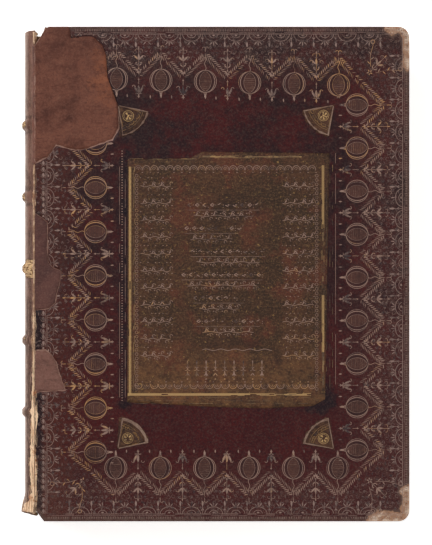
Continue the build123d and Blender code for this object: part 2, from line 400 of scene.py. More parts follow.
finishes = {
    "covering": coveringFinish(),
    "tooling": toolingFinish("tooledLines", tone(148, 118, 104), tone(182, 136, 90), 0.5, 0.12),
    "fanLines": toolingFinish("fanLines", tone(86, 60, 46), tone(138, 102, 60), 0.6, 0.1),
    "edging": toolingFinish("edgingLines", tone(140, 114, 104), tone(158, 122, 92), 0.52, 0.06),
    "faint": toolingFinish("faintTools", tone(98, 76, 70), tone(120, 92, 72), 0.6, 0.0),
    "gilt": toolingFinish("giltRules", tone(122, 96, 68), tone(192, 154, 102), 0.46, 0.2),
    "stamped": plainLeatherFinish("stampedGround", tone(60, 35, 31), tone(84, 51, 43), tone(120, 86, 72)),
    # darkest leather: the medallions' grounds, and the painted shadow in the head repair's crease
    "sunk": plainLeatherFinish("sunkGround", tone(44, 22, 22), tone(62, 31, 30), tone(86, 58, 52)),
    "tornRim": plainLeatherFinish("tornLeather", tone(112, 80, 70), tone(148, 112, 98), tone(178, 146, 130)),
}


# front and back covers
boardShape = {
    "step": 1.6 * mm,  # spacing of points along edges
    "spacing": 2.3 * mm,  # and over the face
    "turnIn": 16.0 * mm,
    "raggedJoint": 0.5 * mm,
    "onRim": 0.06 * mm,  # a point nearer than this lies on the rim
    "leatherThickness": 0.5 * mm,
    "stripLap": 2.5 * mm,  # where the joint leather takes over from the cover
    # how far out from the edge and how far down from the face, mm
    "edgeProfile": [(0.22, 0.05), (0.42, 0.16), (0.56, 0.36), (0.60, 0.70),
                    (0.66, 2.6), (0.60, 5.0), (0.46, 5.5), (0.1, 5.78)],
    "turnInDrops": (5.8, 5.4),  # where the turn-in begins and ends, mm below the face
}
wholeOutline = flatOutline("back_cover_leather", -1)[::-1]
openRim = [p for p in wholeOutline if p[0] > coverX + 0.1 * mm]  # all but the joint side
start = next(i for i, p in enumerate(wholeOutline) if p in openRim and wholeOutline[i - 1] not in openRim)
openRim = (wholeOutline[start:] + wholeOutline[:start])[:len(openRim)]
jointEnds = [p for p in wholeOutline if p not in openRim]
openRim = [min(jointEnds, key=lambda p: math.dist(p, openRim[0]))] + openRim
openRim.append(min(jointEnds, key=lambda p: math.dist(p, openRim[-1])))


def rubbedAt(x, y, fromRim, front):
    # how far handling has worn the leather, 0 to 1
    wear = 0.42 * smooth(fromRim, 4.5 * mm, 0.5 * mm)
    along, down = foreX - x, headY - abs(y)
    if not front:
        reachX, reachY, strip = 13 * mm, 13 * mm, 3 * mm
    elif y > 0:
        reachX, reachY, strip = 19 * mm, 33 * mm, 6.5 * mm
    else:
        reachX, reachY, strip = 31 * mm, 27 * mm, 8.5 * mm
    strip *= 1 + 0.7 * drift(x, y, 7 * mm, 9.0)
    atCorner = smooth(along, reachX, reachX * 0.75) * smooth(down, reachY, reachY * 0.75)
    wear += (0.8 if front else 0.55) * smooth(fromRim, strip, strip * 0.6) * atCorner
    if front and y < 0:
        wear += 0.3 * smooth(fromRim, strip * 0.9, strip * 0.4) * atCorner
    wear += 0.25 * smooth(fromRim, 1.6 * mm, 0.3 * mm) * atCorner
    return wear


def wrapEdges(places, faces, loop, outer):
    # carries a skin over the board's edge and in under it; returns the new points' plan places
    count = len(loop)
    normals = []
    for i in range(count):
        (ax, ay), (bx, by) = loop[i - 1], loop[(i + 1) % count]
        size = math.hypot(bx - ax, by - ay)
        normals.append(((by - ay) / size, (ax - bx) / size))
    first = next(i for i in range(count) if outer[i] and not outer[i - 1])
    chain = [(first + k) % count for k in range(sum(outer))]
    rows, added = [chain], []
    limit = boardShape["turnIn"]
    for outward, drop in boardShape["edgeProfile"] + [(None, drop) for drop in boardShape["turnInDrops"]]:
        row = []
        for i in chain:
            x, y = loop[i]
            spot = (min(x, foreX - limit), max(limit - headY, min(headY - limit, y)))
            if outward is not None:
                swell = 0.1 * drift(x, y, 12 * mm, drop) if 1 < drop < 5.5 else 0
                reach = (outward + swell) * mm
                spot = (x + normals[i][0] * reach, y + normals[i][1] * reach)
            row.append(len(places))
            places.append((*spot, topZ - drop * mm + coverRise(x, y) * smooth(drop, 4, 0)))
            added.append((x, y))
        rows.append(row)
    faces += gridFaces(rows)
    return added


def coverShell(node, name, front):
    # leather over the outside and edges of a board, with its turn-ins, as one skin
    shape = boardShape
    face = flatOutline(node) if front else flatOutline(node, -1)[::-1]
    loop = evenOutline(face, shape["step"])
    points, faces = fillSheet(loop, shape["spacing"])
    fromRim = gapTo(points, openRim, closed=False)
    outer = [gap < shape["onRim"] for gap in fromRim[:len(loop)]]
    places = []
    for i, (x, y) in enumerate(points):
        lift = 0.0
        if i < len(loop) and not outer[i]:
            x = max(coverX, x + shape["raggedJoint"] * drift(x, y, 2.5 * mm, 7.0))
            y += 0.35 * mm * drift(x, y, 2.0 * mm, 8.0)
            lift = 0.08 * mm
        places.append((x, y, topZ + coverRise(x, y) + lift))
    added = wrapEdges(places, faces, loop, outer)
    rubbed = [rubbedAt(x, y, gap, front) for (x, y), gap in zip(points, fromRim)]
    rubbed += [rubbedAt(x, y, 0.5 * mm, front) * (0.72 + 0.3 * drift(x, y, 5 * mm, 4.0)) for x, y in added]
    rim = [smooth(gap, 46 * mm, 12 * mm) for gap in fromRim] + [1.0] * len(added)
    if not front:
        # the back cover lies face down, and stops short of the joint strip
        lap, ease = shape["stripLap"], 8 * mm
        places = [(x + lap * max(0.0, 1 - (x - coverX) / ease), y, max(topZ - z, 0.0)) for x, y, z in places]
        faces = [tuple(reversed(f)) for f in faces]
    body = "front_cover" if front else "back_cover"
    piece = makePiece(name, places, faces, finishes["covering"], body, "covering_leather")
    # darker round the panel, widest on the spine side and at its lower fore corner, and beside the joint
    # towards the head
    inked = [0.0] * len(places)
    if front:
        byPanel = gapTo(points, flatOutline("centre_panel"))
        for i, ((x, y), gap) in enumerate(zip(points, byPanel)):
            corner = smooth(x, 50 * mm, 78 * mm) * smooth(y, -66 * mm, -84 * mm)
            spineSide = smooth(x, -52 * mm, -58 * mm)
            reach = (4 + 7 * spineSide + 9 * corner) * mm
            strength = 0.4 + 0.25 * spineSide + 0.5 * corner
            byJoint = smooth(x, coverX + 8 * mm, coverX + 2.5 * mm) * smooth(y, 75 * mm, 20 * mm)
            inked[i] = max(strength * smooth(gap, reach, reach * 0.3), 0.9 * byJoint)
    paint(piece, rubbed=rubbed, rim=rim, inked=inked)
    thicken(piece, shape["leatherThickness"])
    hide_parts(node)


coverShell("front_cover_leather", "coveringLeatherFront", True)
coverShell("back_cover_leather", "coveringLeatherBack", False)
print("covering leather done")


# impressions of the finishing tools
class Tooling:
    # low ridges for every line, leaf and dot that a tool left, in one mesh
    def __init__(self, seed, surface, proud=0.07 * mm, gold=lambda x, y: 0.0):
        self.points, self.faces, self.strength, self.golden = [], [], [], []
        self.dice = random.Random(seed)
        self.surface = surface
        self.proud = proud
        self.gold = gold
        self.missing = 0.05  # share of small marks worn away
        self.at(0, 0, 90)

    def at(self, x, y, outward):
        # local places are (along, outward) in mm from here
        self.origin = (x, y)
        self.out = around(1, outward)

    def spot(self, along, outward):
        # anticlockwise border: along runs to the right of outward
        ox, oy = self.out
        along, outward = along * mm, outward * mm
        return (self.origin[0] + outward * ox + along * oy, self.origin[1] + outward * oy - along * ox)

    def ridge(self, path, widths, closed=False, keep=None):
        # path in local mm, widths in mm at each point
        spots = [self.spot(*p) for p in path]
        count = len(spots)
        first = len(self.points)
        force = self.dice.uniform(0.25, 1.0) if keep is None else keep
        gilding = self.dice.uniform(-0.25, 0.25)
        for i, (x, y) in enumerate(spots):
            ax, ay = spots[i - 1] if closed or i else spots[0]
            bx, by = spots[(i + 1) % count] if closed or i < count - 1 else spots[-1]
            length = math.hypot(bx - ax, by - ay) or 1
            nx, ny = (by - ay) / length, (ax - bx) / length
            half = widths[i] * mm / 2
            level = self.surface(x, y)
            for side, lift in ((-1, -1.5), (-0.55, 1), (0.55, 1), (1, -1.5)):
                self.points.append((x + nx * half * side, y + ny * half * side, level + self.proud * lift))
                self.strength.append(force)
                self.golden.append(self.gold(x, y) + gilding)
        rings = numbered(count, 4, first)
        self.faces += gridFaces(rings + rings[:1] if closed else rings, closed=True)
        if not closed:
            self.faces += [tuple(rings[0]), tuple(reversed(rings[-1]))]

    def plate(self, path):
        # a low filled impression
        first, count = len(self.points), len(path)
        for lift in (1, -2):
            for x, y in [self.spot(*p) for p in path]:
                self.points.append((x, y, self.surface(x, y) + self.proud * lift))
                self.strength.append(1.0)
                self.golden.append(0.0)
        top, bottom = rings = numbered(2, count, first)
        self.faces += [tuple(reversed(top)), tuple(bottom)] + gridFaces(rings, closed=True, turned=True)

    def line(self, path, width=0.5, keep=None):
        self.ridge(path, [width] * len(path), keep=keep)

    def leaf(self, along, outward, angle, length, width, keep=None):
        # a pointed lens that starts here and grows along angle, 90 being outward
        if self.dice.random() < self.missing:
            return
        c, s = around(length, angle)
        path = [(along + c * t, outward + s * t) for t in (0, 0.25, 0.6, 1)]
        self.ridge(path, [width * w for w in (0.25, 0.9, 1, 0.12)], keep=keep)

    def arc(self, along, outward, radius, start, end, width, flat=1.0, parts=None):
        parts = parts or max(4, int(abs(end - start) / 20))
        full = abs(end - start) >= 360
        turns = [around(radius, start + (end - start) * i / parts, flat) for i in range(parts + (not full))]
        self.ridge([(along + x, outward + y) for x, y in turns], [width] * len(turns), closed=full)

    def dot(self, along, outward, radius):
        if self.dice.random() < self.missing:
            return
        self.ridge([(along - radius, outward), (along, outward), (along + radius, outward)],
                   [radius * 0.9, radius * 2, radius * 0.9])

    def finish(self, name, finish, body, slot):
        piece = makePiece(name, self.points, self.faces, finish, body, slot, soft=False)
        paint(piece, strength=self.strength, golden=self.golden)


# border of the front cover
borderPlan = {
    "left": -111.7 * mm,  # the line that the outer tools stand on
    "right": 125.4 * mm,
    "top": 160.0 * mm,
    "bottom": -160.0 * mm,
    "medallionsLeft": -79.3 * mm,
    "medallionsRight": 95.0 * mm,
    "medallionsTop": (130.0 * mm, 126.0 * mm),  # the row runs down to the right
    "medallionsBottom": -129.3 * mm,
    "rowStart": -65.3 * mm,
    "rowPitch": 29.6 * mm,
    "rowCount": 6,
    "rightFrom": 112.7 * mm,
    "rightPitch": 28.75 * mm,
    "rightCount": 9,
    "leftFrom": 87.0 * mm,
    "leftPitch": 29.4 * mm,
    "leftCount": 8,
    "ringRadius": 7.4,
    "apexOut": 17.8,  # garland's outer turn beyond the medallion's centre
    "apexIn": 2.6,
    "stampPitch": 3.7 * mm,
    "stampJitter": 0.8 * mm,
    "clearOfRim": 5.5 * mm,  # how far the small stamps keep away from the other tools
    "clearOfGarland": 2.9 * mm,
    "clearOfMedallion": 9.0 * mm,
    "scallopPitch": 14.7 * mm,  # from here on, the row along the edge
    "scallopEnd": 9.0 * mm,  # no scallop nearer to a corner than this
    "filletPitch": 6.0 * mm,
    "filletWorn": 0.12,  # share of the fillet that is worn away
    "beadPitch": 4.0,
    "leafPitch": 1.15,
}


def goldenAt(x, y):
    # gilding has lasted best near the spine and at the head of the fore edge
    spineSide = 0.3 * smooth(x, -60 * mm, -85 * mm)
    foreHead = 0.32 * smooth(x, 20 * mm, 90 * mm) * smooth(y, 50 * mm, 115 * mm)
    return 0.12 + spineSide + foreHead + 0.25 * drift(x, y, 30 * mm, 12.0)


def almond(wide, degrees):
    # a place on the medallion's pointed oval
    c, s = around(1, degrees)
    return wide * math.copysign(abs(c) ** 1.3, c), 6.6 * s


def medallion(tool, grounds, almonds):
    r = borderPlan["ringRadius"]
    turn = range(0, 360, 12)
    grounds.plate([(6.1 * c, 7.2 * s) for c, s in (around(1, t) for t in turn)])
    almonds.plate([almond(3.9, t) for t in turn])
    tool.arc(0, 0, r, 0, 360, 0.5, parts=36)
    for side in (0, 180):  # crescents on both sides
        path = [(6.2 * c, 7.3 * s) for c, s in (around(1, side + t) for t in range(-78, 79, 12))]
        tool.ridge(path, [0.3 + 0.5 * math.sin(math.pi * i / 13) for i in range(14)])
    for side in (-1, 1):  # the almond's own outline
        tool.line([almond(side * 4.0, t) for t in range(-84, 85, 14)], 0.35, 0.4)
    for row in range(-4, 5):
        up = row * 1.25
        wide = 3.4 * math.sqrt(1 - (up / 6.2) ** 2) ** 1.3
        tool.line([(-wide, up), (0, up + 0.2), (wide, up)], 0.22, tool.dice.uniform(0.05, 0.35))
    # finial towards the middle of the cover
    tool.line([(0, -r), (0.15, -8.6)], 0.5)
    tool.leaf(0, -8.2, -90, 3.6, 1.9)
    for side in (-1, 1):
        tool.arc(side * 2.2, -r - 0.9, 1.5, 90 - side * 30, 90 + side * 110, 0.5, parts=6)
    # waved stem up to the garland
    tool.line([(0.55 * math.sin(t * 1.15), r + t * 1.1) for t in range(9)], 0.5)
    for k in range(-3, 4):
        tool.leaf(k * 0.85, 15.2 - abs(k) * 0.7, 90 - 9 * k, 3.8, 0.5)
    tool.leaf(0, 19.6, 90, 2.6, 0.6)
    for side in (-1, 1):
        tool.arc(side * 1.0, 22.0, 1.0, 90 - side * 90, 90 + side * 110, 0.45, parts=5)


def lily(tool):
    # half way between two medallions, pointing to the middle of the cover
    tool.line([(0, 1.2), (0, -3.0)], 0.4)
    tool.dot(0, 0.2, 0.55)
    force = tool.dice.uniform(0.1, 0.5)
    tool.leaf(0, -9.0, 90, 5.4, 2.3, force)
    for side in (-1, 1):
        tool.leaf(side * 0.9, -8.6, 90 - side * 26, 5.0, 1.9, force)
        tool.arc(side * 3.3, -4.6, 1.0, 90 - side * 90, 90 + side * 120, 0.45, parts=5)
        tool.arc(side * 1.5, -10.2, 1.3, 90, 90 + side * 150, 0.45, parts=6)
    tool.line([(-2.2, -9.3), (2.2, -9.3)], 0.6, force)
    tool.leaf(0, -9.8, -90, 2.6, 1.1)


def fleuron(tool):
    # five petals under a tall flower, pointing to the cover's edge
    for turn in range(18, 360, 72):
        x, y = around(0.5, turn)
        tool.leaf(x, 6.2 + y, turn, 1.6, 1.2)
    tool.line([(0, 8.2), (0, 20.4)], 0.38)
    force = tool.dice.uniform(0.3, 0.9)
    tool.leaf(0, 13.0, 90, 4.4, 1.9, force)
    for side in (-1, 1):
        tool.leaf(side * 0.4, 9.4, 90 - side * 48, 2.3, 1.0)
        tool.leaf(side * 0.5, 13.4, 90 - side * 40, 3.8, 1.5, force)
        tool.arc(side * 3.4, 15.0, 1.0, 90 - side * 90, 90 + side * 130, 0.45, parts=5)
        tool.arc(side * 1.4, 19.4, 1.1, 90 + side * 40, 90 - side * 120, 0.4, parts=5)
        tool.dot(side * 1.6, 11.4, 0.5)
    tool.leaf(0, 20.0, 90, 2.2, 1.1)


def garland(tool, start, end):
    # two rows of small leaves along a line from start to end
    length = math.dist(start, end) / mm - 1.6
    tool.at(*start, math.degrees(math.atan2(end[1] - start[1], end[0] - start[0])))
    for side, pitch, reach, width in ((-1, 1.5, 2.7, 0.85), (1, 1.25, 2.5, 0.5)):
        count = int(length / pitch)
        for i in range(count):
            tool.leaf(side * 0.3, 0.6 + i * length / count, 90 - side * 52, reach, width)


def scallop(tool):
    tool.arc(0, 0, 6.0, 4, 176, 0.5, 0.8, parts=14)
    tool.arc(0, 0, 3.0, 10, 170, 0.45, 0.85, parts=8)
    tool.dot(0, 1.0, 0.8)
    for angle in (48, 90, 132):
        tool.leaf(around(1.2, angle)[0], 5.2, angle, 2.8, 1.0)


def scallopDrop(tool):
    tool.line([(0, 0.3), (0, 5.2)], 0.35)
    tool.leaf(0, 8.8, -90, 3.8, 1.8)
    for side in (-1, 1):
        tool.leaf(side * 0.9, 2.2, 90 + side * 30, 1.8, 0.7)


def borderSides():
    # each side, clockwise from the head: its outward heading, pitch in mm and medallions' centres
    p = borderPlan
    highEnd, lowEnd = p["medallionsTop"]
    last = p["rowCount"] - 1
    xs = [p["rowStart"] + p["rowPitch"] * i for i in range(p["rowCount"])]
    top = [(x, highEnd + (lowEnd - highEnd) * i / last) for i, x in enumerate(xs)]
    bottom = [(x - 0.5 * mm, p["medallionsBottom"]) for x in reversed(xs)]
    right = [(p["medallionsRight"], p["rightFrom"] - p["rightPitch"] * i) for i in range(p["rightCount"])]
    left = [(p["medallionsLeft"], p["leftFrom"] - p["leftPitch"] * i) for i in range(p["leftCount"])]
    return [(90, p["rowPitch"] / mm, top), (0, p["rightPitch"] / mm, right),
            (-90, p["rowPitch"] / mm, bottom), (180, p["leftPitch"] / mm, left[::-1])]


def cornerSpray(tool, x, y):
    # a flower and two curled sprays where two rows meet; gives the garland's turning point
    hx, hy = math.copysign(1, x), math.copysign(1, y)
    heading = math.degrees(math.atan2(hy, hx))
    tool.at(x + hx * 4 * mm, y + hy * 4 * mm, heading)
    fleuron(tool)
    for angle in (-38, 38):
        tool.at(x + hx * 8 * mm, y + hy * 8 * mm, heading + angle)
        tool.line([(0.5 * math.sin(t * 0.6), t * 1.5) for t in range(3, 14)], 0.4)
        for k in range(4):
            tool.leaf(0, 6 + 3.2 * k, 40 if k % 2 else 140, 2.8, 0.9)
        tool.arc(0, 21, 1.3, 0, 360, 0.5, parts=12)
    return x + hx * 2.6 * mm, y + hy * 1.4 * mm


def layRows(sides, rings, grounds, almonds, leaves):
    # medallions and flowers on all four sides; gives the garland's turning points
    apexOut, apexIn = borderPlan["apexOut"] * mm, borderPlan["apexIn"] * mm
    turns = []
    for (heading, pitch, centres), following in zip(sides, sides[1:] + sides[:1]):
        ox, oy = around(1, heading)
        for i, (x, y) in enumerate(centres):
            for tool in (rings, grounds, almonds):
                tool.at(x, y, heading)
            medallion(rings, grounds, almonds)
            for along in (-pitch * 0.24, pitch * 0.24):
                rings.leaf(along, -12.2, 90, 2.3, 1.15)
            turns.append((x + ox * apexOut, y + oy * apexOut))
            if i + 1 < len(centres):
                x, y = (x + centres[i + 1][0]) / 2, (y + centres[i + 1][1]) / 2
                leaves.at(x, y, heading)
                lily(leaves)
                fleuron(leaves)
                turns.append((x + ox * apexIn, y + oy * apexIn))
        # a corner lies level with the ends of both its rows
        (ownX, ownY), (nextX, nextY) = centres[-1], following[2][0]
        corner = (ownX, nextY) if abs(ox) > 0.5 else (nextX, ownY)
        turns.append(cornerSpray(leaves, *corner))
    return turns


def edgeTools(tool, start, end, inward, bySpine):
    # scallops, fillet and edge roll along one side of the cover
    span = math.dist(start, end)
    ux, uy = (end[0] - start[0]) / span, (end[1] - start[1]) / span
    dx, dy = around(1, inward)

    def place(along, back=0.0):
        return start[0] + ux * along + dx * back, start[1] + uy * along + dy * back

    p = borderPlan
    halves = 2 * round(span / p["scallopPitch"])
    for i in range(halves + 1):
        along = span * i / halves
        if p["scallopEnd"] < along < span - p["scallopEnd"]:
            tool.at(*place(along), inward)
            (scallop if i % 2 else scallopDrop)(tool)
    parts = int(span / p["filletPitch"])
    for back, width in ((0.0, 0.55), (-1.1, 0.3)):
        tool.at(*place(0, back * mm), math.degrees(math.atan2(uy, ux)))
        for i in range(parts):
            if tool.dice.random() >= p["filletWorn"]:
                a, b = (span / mm * (i + k) / parts for k in (0.02, 0.98))
                tool.line([(0, a), (0, (a + b) / 2), (0, b)], width)
    if bySpine:
        for i in range(int(span / (p["beadPitch"] * mm))):
            tool.at(*place((i + 0.5) * p["beadPitch"] * mm, -2.4 * mm), inward)
            tool.dot(0, 0, 1.25)
            tool.arc(0, 0, 1.7, -80, 80, 0.3, parts=5)
    else:
        for i in range(int(span / (p["leafPitch"] * mm))):
            tool.at(*place((i + 0.5) * p["leafPitch"] * mm), inward)
            tool.leaf(0, -1.7, -90, 1.7, 0.5)


def smallStamps(tool, centres, turns):
    # little leaves, rings and dots set closely between the edge and the garlands
    p = borderPlan
    pitch, jitter = p["stampPitch"], p["stampJitter"]
    spots = []
    for row in range(int(2 * headY / pitch)):
        for column in range(int((foreX - coverX) / pitch)):
            x = coverX + (column + 0.5 * (row % 2)) * pitch + tool.dice.uniform(-jitter, jitter)
            y = -headY + (row + 0.5) * pitch + tool.dice.uniform(-jitter, jitter)
            spots.append((x, y))
    free = gapTo(spots, openRim, closed=False) > p["clearOfRim"]
    free &= ~inside(spots, turns) & (gapTo(spots, evenOutline(turns, 8 * mm)) > p["clearOfGarland"])
    for centre in centres:
        free &= np.hypot(*(np.array(spots) - centre).T) > p["clearOfMedallion"]
    for (x, y), ok in zip(spots, free):
        if not ok:
            continue
        tool.at(x, y, tool.dice.choice((0, 90, 180, 270)) + tool.dice.uniform(-20, 20))
        kind = tool.dice.choice(("ring", "leaves", "leaves", "curl", "leaf"))
        if kind == "ring":
            tool.arc(0, 0, 0.75, 0, 360, 0.4, parts=7)
        elif kind == "curl":
            tool.arc(0, 0, 1.1, 0, 230, 0.45, parts=6)
        elif kind == "leaf":
            tool.leaf(0, -1.1, 90, 2.2, 1.0)
        else:
            for angle in (50, 90, 130):
                tool.leaf(0, -0.9, angle, 2.1, 0.7)


def makeBorder():
    p = borderPlan
    sides = borderSides()
    rings = Tooling(11, onCover(), gold=goldenAt)
    leaves = Tooling(12, onCover(), gold=goldenAt)
    edging = Tooling(13, onCover(), gold=lambda x, y: 0.05 + 0.2 * drift(x, y, 30 * mm, 2.0))
    stamps = Tooling(14, onCover(), gold=lambda x, y: 0.15)
    grounds = Tooling(15, onCover(), 0.03 * mm)
    almonds = Tooling(16, onCover(), 0.055 * mm)
    turns = layRows(sides, rings, grounds, almonds, leaves)
    for start, end in zip(turns, turns[1:] + turns[:1]):
        if math.dist(start, end) < 40 * mm:
            garland(leaves, start, end)
    left, right, top, bottom = p["left"], p["right"], p["top"], p["bottom"]
    corners = [(left, top), (right, top), (right, bottom), (left, bottom)]
    for k, start in enumerate(corners):
        edgeTools(edging, start, corners[(k + 1) % 4], -90 * (k + 1), bySpine=k == 3)
    smallStamps(stamps, [centre for side in sides for centre in side[2]], turns)
    made = {
        "borderMedallions": (rings, "tooling", "tooling_gold"),
        "borderGarlands": (leaves, "tooling", "tooling_gold"),
        "borderEdging": (edging, "edging", "tooling_gold"),
        "borderSmallStamps": (stamps, "faint", "tooling_gold"),
        "medallionGrounds": (grounds, "sunk", "covering_leather"),
        "medallionAlmonds": (almonds, "stamped", "covering_leather"),
    }
    frontFace = evenOutline(flatOutline("front_cover_leather"), 3 * mm)
    for name, (tool, finish, slot) in made.items():
        # marks go where the old leather is lost
        lying = inside(np.array(tool.points)[:, :2], frontFace)
        tool.faces = [f for f in tool.faces if all(lying[i] for i in f)]
        tool.finish(name, finishes[finish], "front_cover", slot)


makeBorder()
print("border done")


# plain leather repairs at the front joint
repairLook = {
    "step": 1.3 * mm,
    "spacing": 2.0 * mm,
    "proud": 0.18 * mm,
    "rimWidth": (0.4, 1.6),  # torn edge round each repair, narrowest and widest, mm
    "tones": {
        "head": (tone(74, 39, 30), tone(114, 69, 54), tone(132, 92, 76), tone(142, 84, 58)),
        "middle": (tone(70, 43, 40), tone(98, 63, 56), tone(132, 100, 90), tone(96, 56, 46)),
        "lower": (tone(88, 57, 49), tone(125, 86, 75), tone(150, 116, 104), tone(114, 74, 62)),
    },
    "amber": (-70.0 * mm, 132.0 * mm, 30.0 * mm),  # a warm stain: x, y and reach
    # a dark ridge along this line paints the shadow under the raised edge of the leather
    "crease": [(-92.5, 157.5), (-88, 158.6), (-82, 158.8), (-77.5, 157), (-74.5, 153.2), (-73.2, 149)],
}


def makeRepair(which):
    look = repairLook
    node, name = which + "_patch", which + "Repair"
    loop = evenOutline(flatOutline(node), look["step"])
    points, faces = fillSheet(loop, look["spacing"])
    outer = [gap < boardShape["onRim"] for gap in gapTo(loop, openRim, closed=False)]
    torn = [p[0] > coverX + 0.2 * mm and not o for p, o in zip(loop, outer)]
    first = next(i for i in range(len(loop)) if torn[i] and not torn[i - 1])
    tear = [loop[(first + k) % len(loop)] for k in range(sum(torn))]
    places = []
    for (x, y), gap in zip(points, gapTo(points, tear, closed=False)):
        lift = look["proud"] * smooth(gap, 0, 2.2 * mm) - 0.05 * mm
        lift += 0.06 * mm * drift(x, y, 9 * mm, 4.0)
        places.append((x, y, topZ + coverRise(x, y) + lift))
    if any(outer):
        wrapEdges(places, faces, loop, outer)
    finish = plainLeatherFinish(which + "RepairCalf", *look["tones"][which])
    piece = makePiece(name, places, faces, finish, "front_cover", "repair_leather")
    ax, ay, reach = look["amber"]
    paint(piece, ambered=[0.7 * smooth(math.hypot(x - ax, (y - ay) * 0.6), reach, 0) for x, y, z in places])
    thicken(piece, boardShape["leatherThickness"])
    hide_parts(node)
    rim = Tooling(len(name), onCover(), 0.12 * mm)
    low, high = look["rimWidth"]
    path, widths = [], []
    for x, y in tear:
        path.append(tuple(c / mm + 0.35 * drift(x, y, 2.5 * mm, seed) for c, seed in ((x, 1.0), (y, 6.0))))
        widths.append(low + (high - low) * smooth(drift(x, y, 7 * mm, 5.0), -0.2, 0.5))
    rim.ridge(path, widths)
    rim.finish(name + "TornEdge", finishes["tornRim"], "front_cover", "repair_leather")


for which in ("head", "middle", "lower"):
    makeRepair(which)
# painted shadow along the crease, under the raised edge of the leather
crease = Tooling(8, onCover(repairLook["proud"]), 0.05 * mm)
crease.ridge(repairLook["crease"], (0.2, 0.7, 0.9, 0.8, 0.9, 0.3))
crease.finish("headRepairCrease", finishes["sunk"], "front_cover", "repair_leather")
print("repairs done")


# the brown panel in the middle
panelLook = {
    "olive": tone(54, 36, 25),
    "brown": tone(76, 47, 32),
    "red": tone(92, 45, 32),
    "dusty": tone(130, 98, 68),
    "stain": tone(28, 20, 20),
    "goldDust": tone(138, 94, 58),
    "goldFleck": tone(166, 130, 78),
    "proud": 0.42 * mm,
    "stains": [(-9, 16, 7, 3), (42, -56, 3, 8), (14, 42, 26, 14), (10, -46, 34, 7), (66, -72, 9, 9)],
    "leftRule": -56.3,
    "rightRule": 72.3,
    "headRule": 75.5,
    "tailRule": -80.3,
    "scallopPitch": 5.26,
    "rowPitch": 11.3,
    "sideBeads": (50, 2.9),  # number and pitch
    # rows in the middle: where each begins and ends, the first one's height and their pitch
    "middleRows": ((-18, 30), (-20, 16), (-16, 34), (-22, 32), (-14, 20), (-12, 30)),
    "middleHead": 46,
    "middlePitch": 15.5,
    "pendants": (9, -18, 6.2),  # number, first place and pitch
}


def panelFinish():
    look = panelLook
    f = Finish("panelGoat", 0.56, 0.2)
    f.base = f.mix(f.patches(30, 0.36, 0.64, 7.0, 0.7), look["olive"], look["brown"])
    f.coat(look["red"], f.patches(24, 0.5, 0.66, 5.0, 0.65, shift=(2, 7, 0)), 0.75)
    speckled(f, look["dusty"], look["stain"], 0.62)
    # fine cracks across, some dusty and some dark
    f.coat(look["dusty"], f.patches(1.1, 0.56, 0.72, 3.0, 0.7, (0.3, 1, 1)), 0.4)
    f.coat(look["stain"], f.patches(1.3, 0.6, 0.76, 3.0, 0.7, (0.35, 1, 1), (7, 7, 0)), 0.6)
    f.coat(look["stain"], f.steps(f.frayed("stained", 6, -0.5, 0.4, 7.0, 0.8), 0.2, 1.0), 0.6)
    # gold dust rubbed into the grain towards the tail, and flecks of leaf
    towardsTail = f.steps(f.axis("Y"), -38 * mm, -74 * mm)
    f.coat(look["goldDust"], f.times(towardsTail, f.patches(7, 0.36, 0.66, 6.0, 0.75)), 0.42)
    f.coat(look["goldFleck"], f.patches(2.0, 0.6, 0.7, 4.0, 0.8, shift=(9, 1, 0)), 0.8)
    leatherGrain(f, 1.1, 0.2)
    return f.done()


def overlaySheet(node, finish, proud, slot, spacing):
    # a thin leather overlay with pared edges
    loop = evenOutline(flatOutline(node), spacing * 0.8)
    points, faces = fillSheet(loop, spacing)
    lifts = [proud * smooth(gap, -0.4 * mm, 1.6 * mm) for gap in gapTo(points, loop)]
    places = [(x, y, topZ + coverRise(x, y) + lift) for (x, y), lift in zip(points, lifts)]
    top, under = range(len(loop)), range(len(places), len(places) + len(loop))
    places += [(x, y, topZ - 0.25 * mm) for x, y in loop]
    faces += gridFaces([top, under], closed=True) + [tuple(reversed(under))]
    piece = makePiece(pieceName(node), places, faces, finish, "front_cover", slot)
    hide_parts(node)
    return piece, places


def rowOfSprays(tool, start, end, y):
    # one worn row: a waved stem with leaves, curls and berries
    stem = [(start + (end - start) * i / 16, y + 0.45 * math.sin(i * 1.1 + y)) for i in range(17)]
    tool.missing = 0.3
    tool.line(stem[:9], 0.45)
    tool.line(stem[8:], 0.45)
    along, up = start + 1.4, 1
    while along < end - 1:
        tool.leaf(along, y, 90 - up * 35, 2.8, 0.8)
        tool.arc(along + 1.7, y + up * 1.9, 1.0, 0, 250, 0.4, parts=6)
        tool.dot(along + 2.2, y - up * 1.6, 0.45)
        along += 2.9
        up = -up


def rowOfLaidLeaves(tool, start, end, y):
    # the rows in the middle are rubbed to a chain of laid leaves and dots
    tool.missing = 0.35
    along = start
    while along < end:
        force = tool.dice.uniform(0.1, 0.9)
        for tilt in (-28, 28):
            tool.leaf(along, y, tilt, 2.7, 0.8, force)
        tool.leaf(along + 3.0, y, 180, 1.4, 1.0, force)
        for lift in (-1.5, 0, 1.5):
            tool.dot(along + 3.9, y + lift, 0.32)
        along += 5.0


def giltRule(tool, start, end, bright, widths=(0.35, 0.75, 0.35)):
    # fine lines side by side, bright being how much of the gold is left
    length = math.dist(start, end)
    ux, uy = (end[0] - start[0]) / length, (end[1] - start[1]) / length
    tool.gold = lambda x, y: bright
    for k, width in enumerate(widths):
        offset = (k - (len(widths) - 1) / 2) * 0.65
        along = 0.0
        while along < length:
            reach = min(length - along, tool.dice.uniform(2, 7))
            left = bright * tool.dice.uniform(0.5, 1.1)
            if tool.dice.random() < 0.25 + 0.75 * bright:
                steps = [along + reach * t for t in (0, 0.5, 1)]
                path = [(start[0] + ux * t - uy * offset, start[1] + uy * t + ux * offset) for t in steps]
                tool.line(path, width, left)
            along += reach


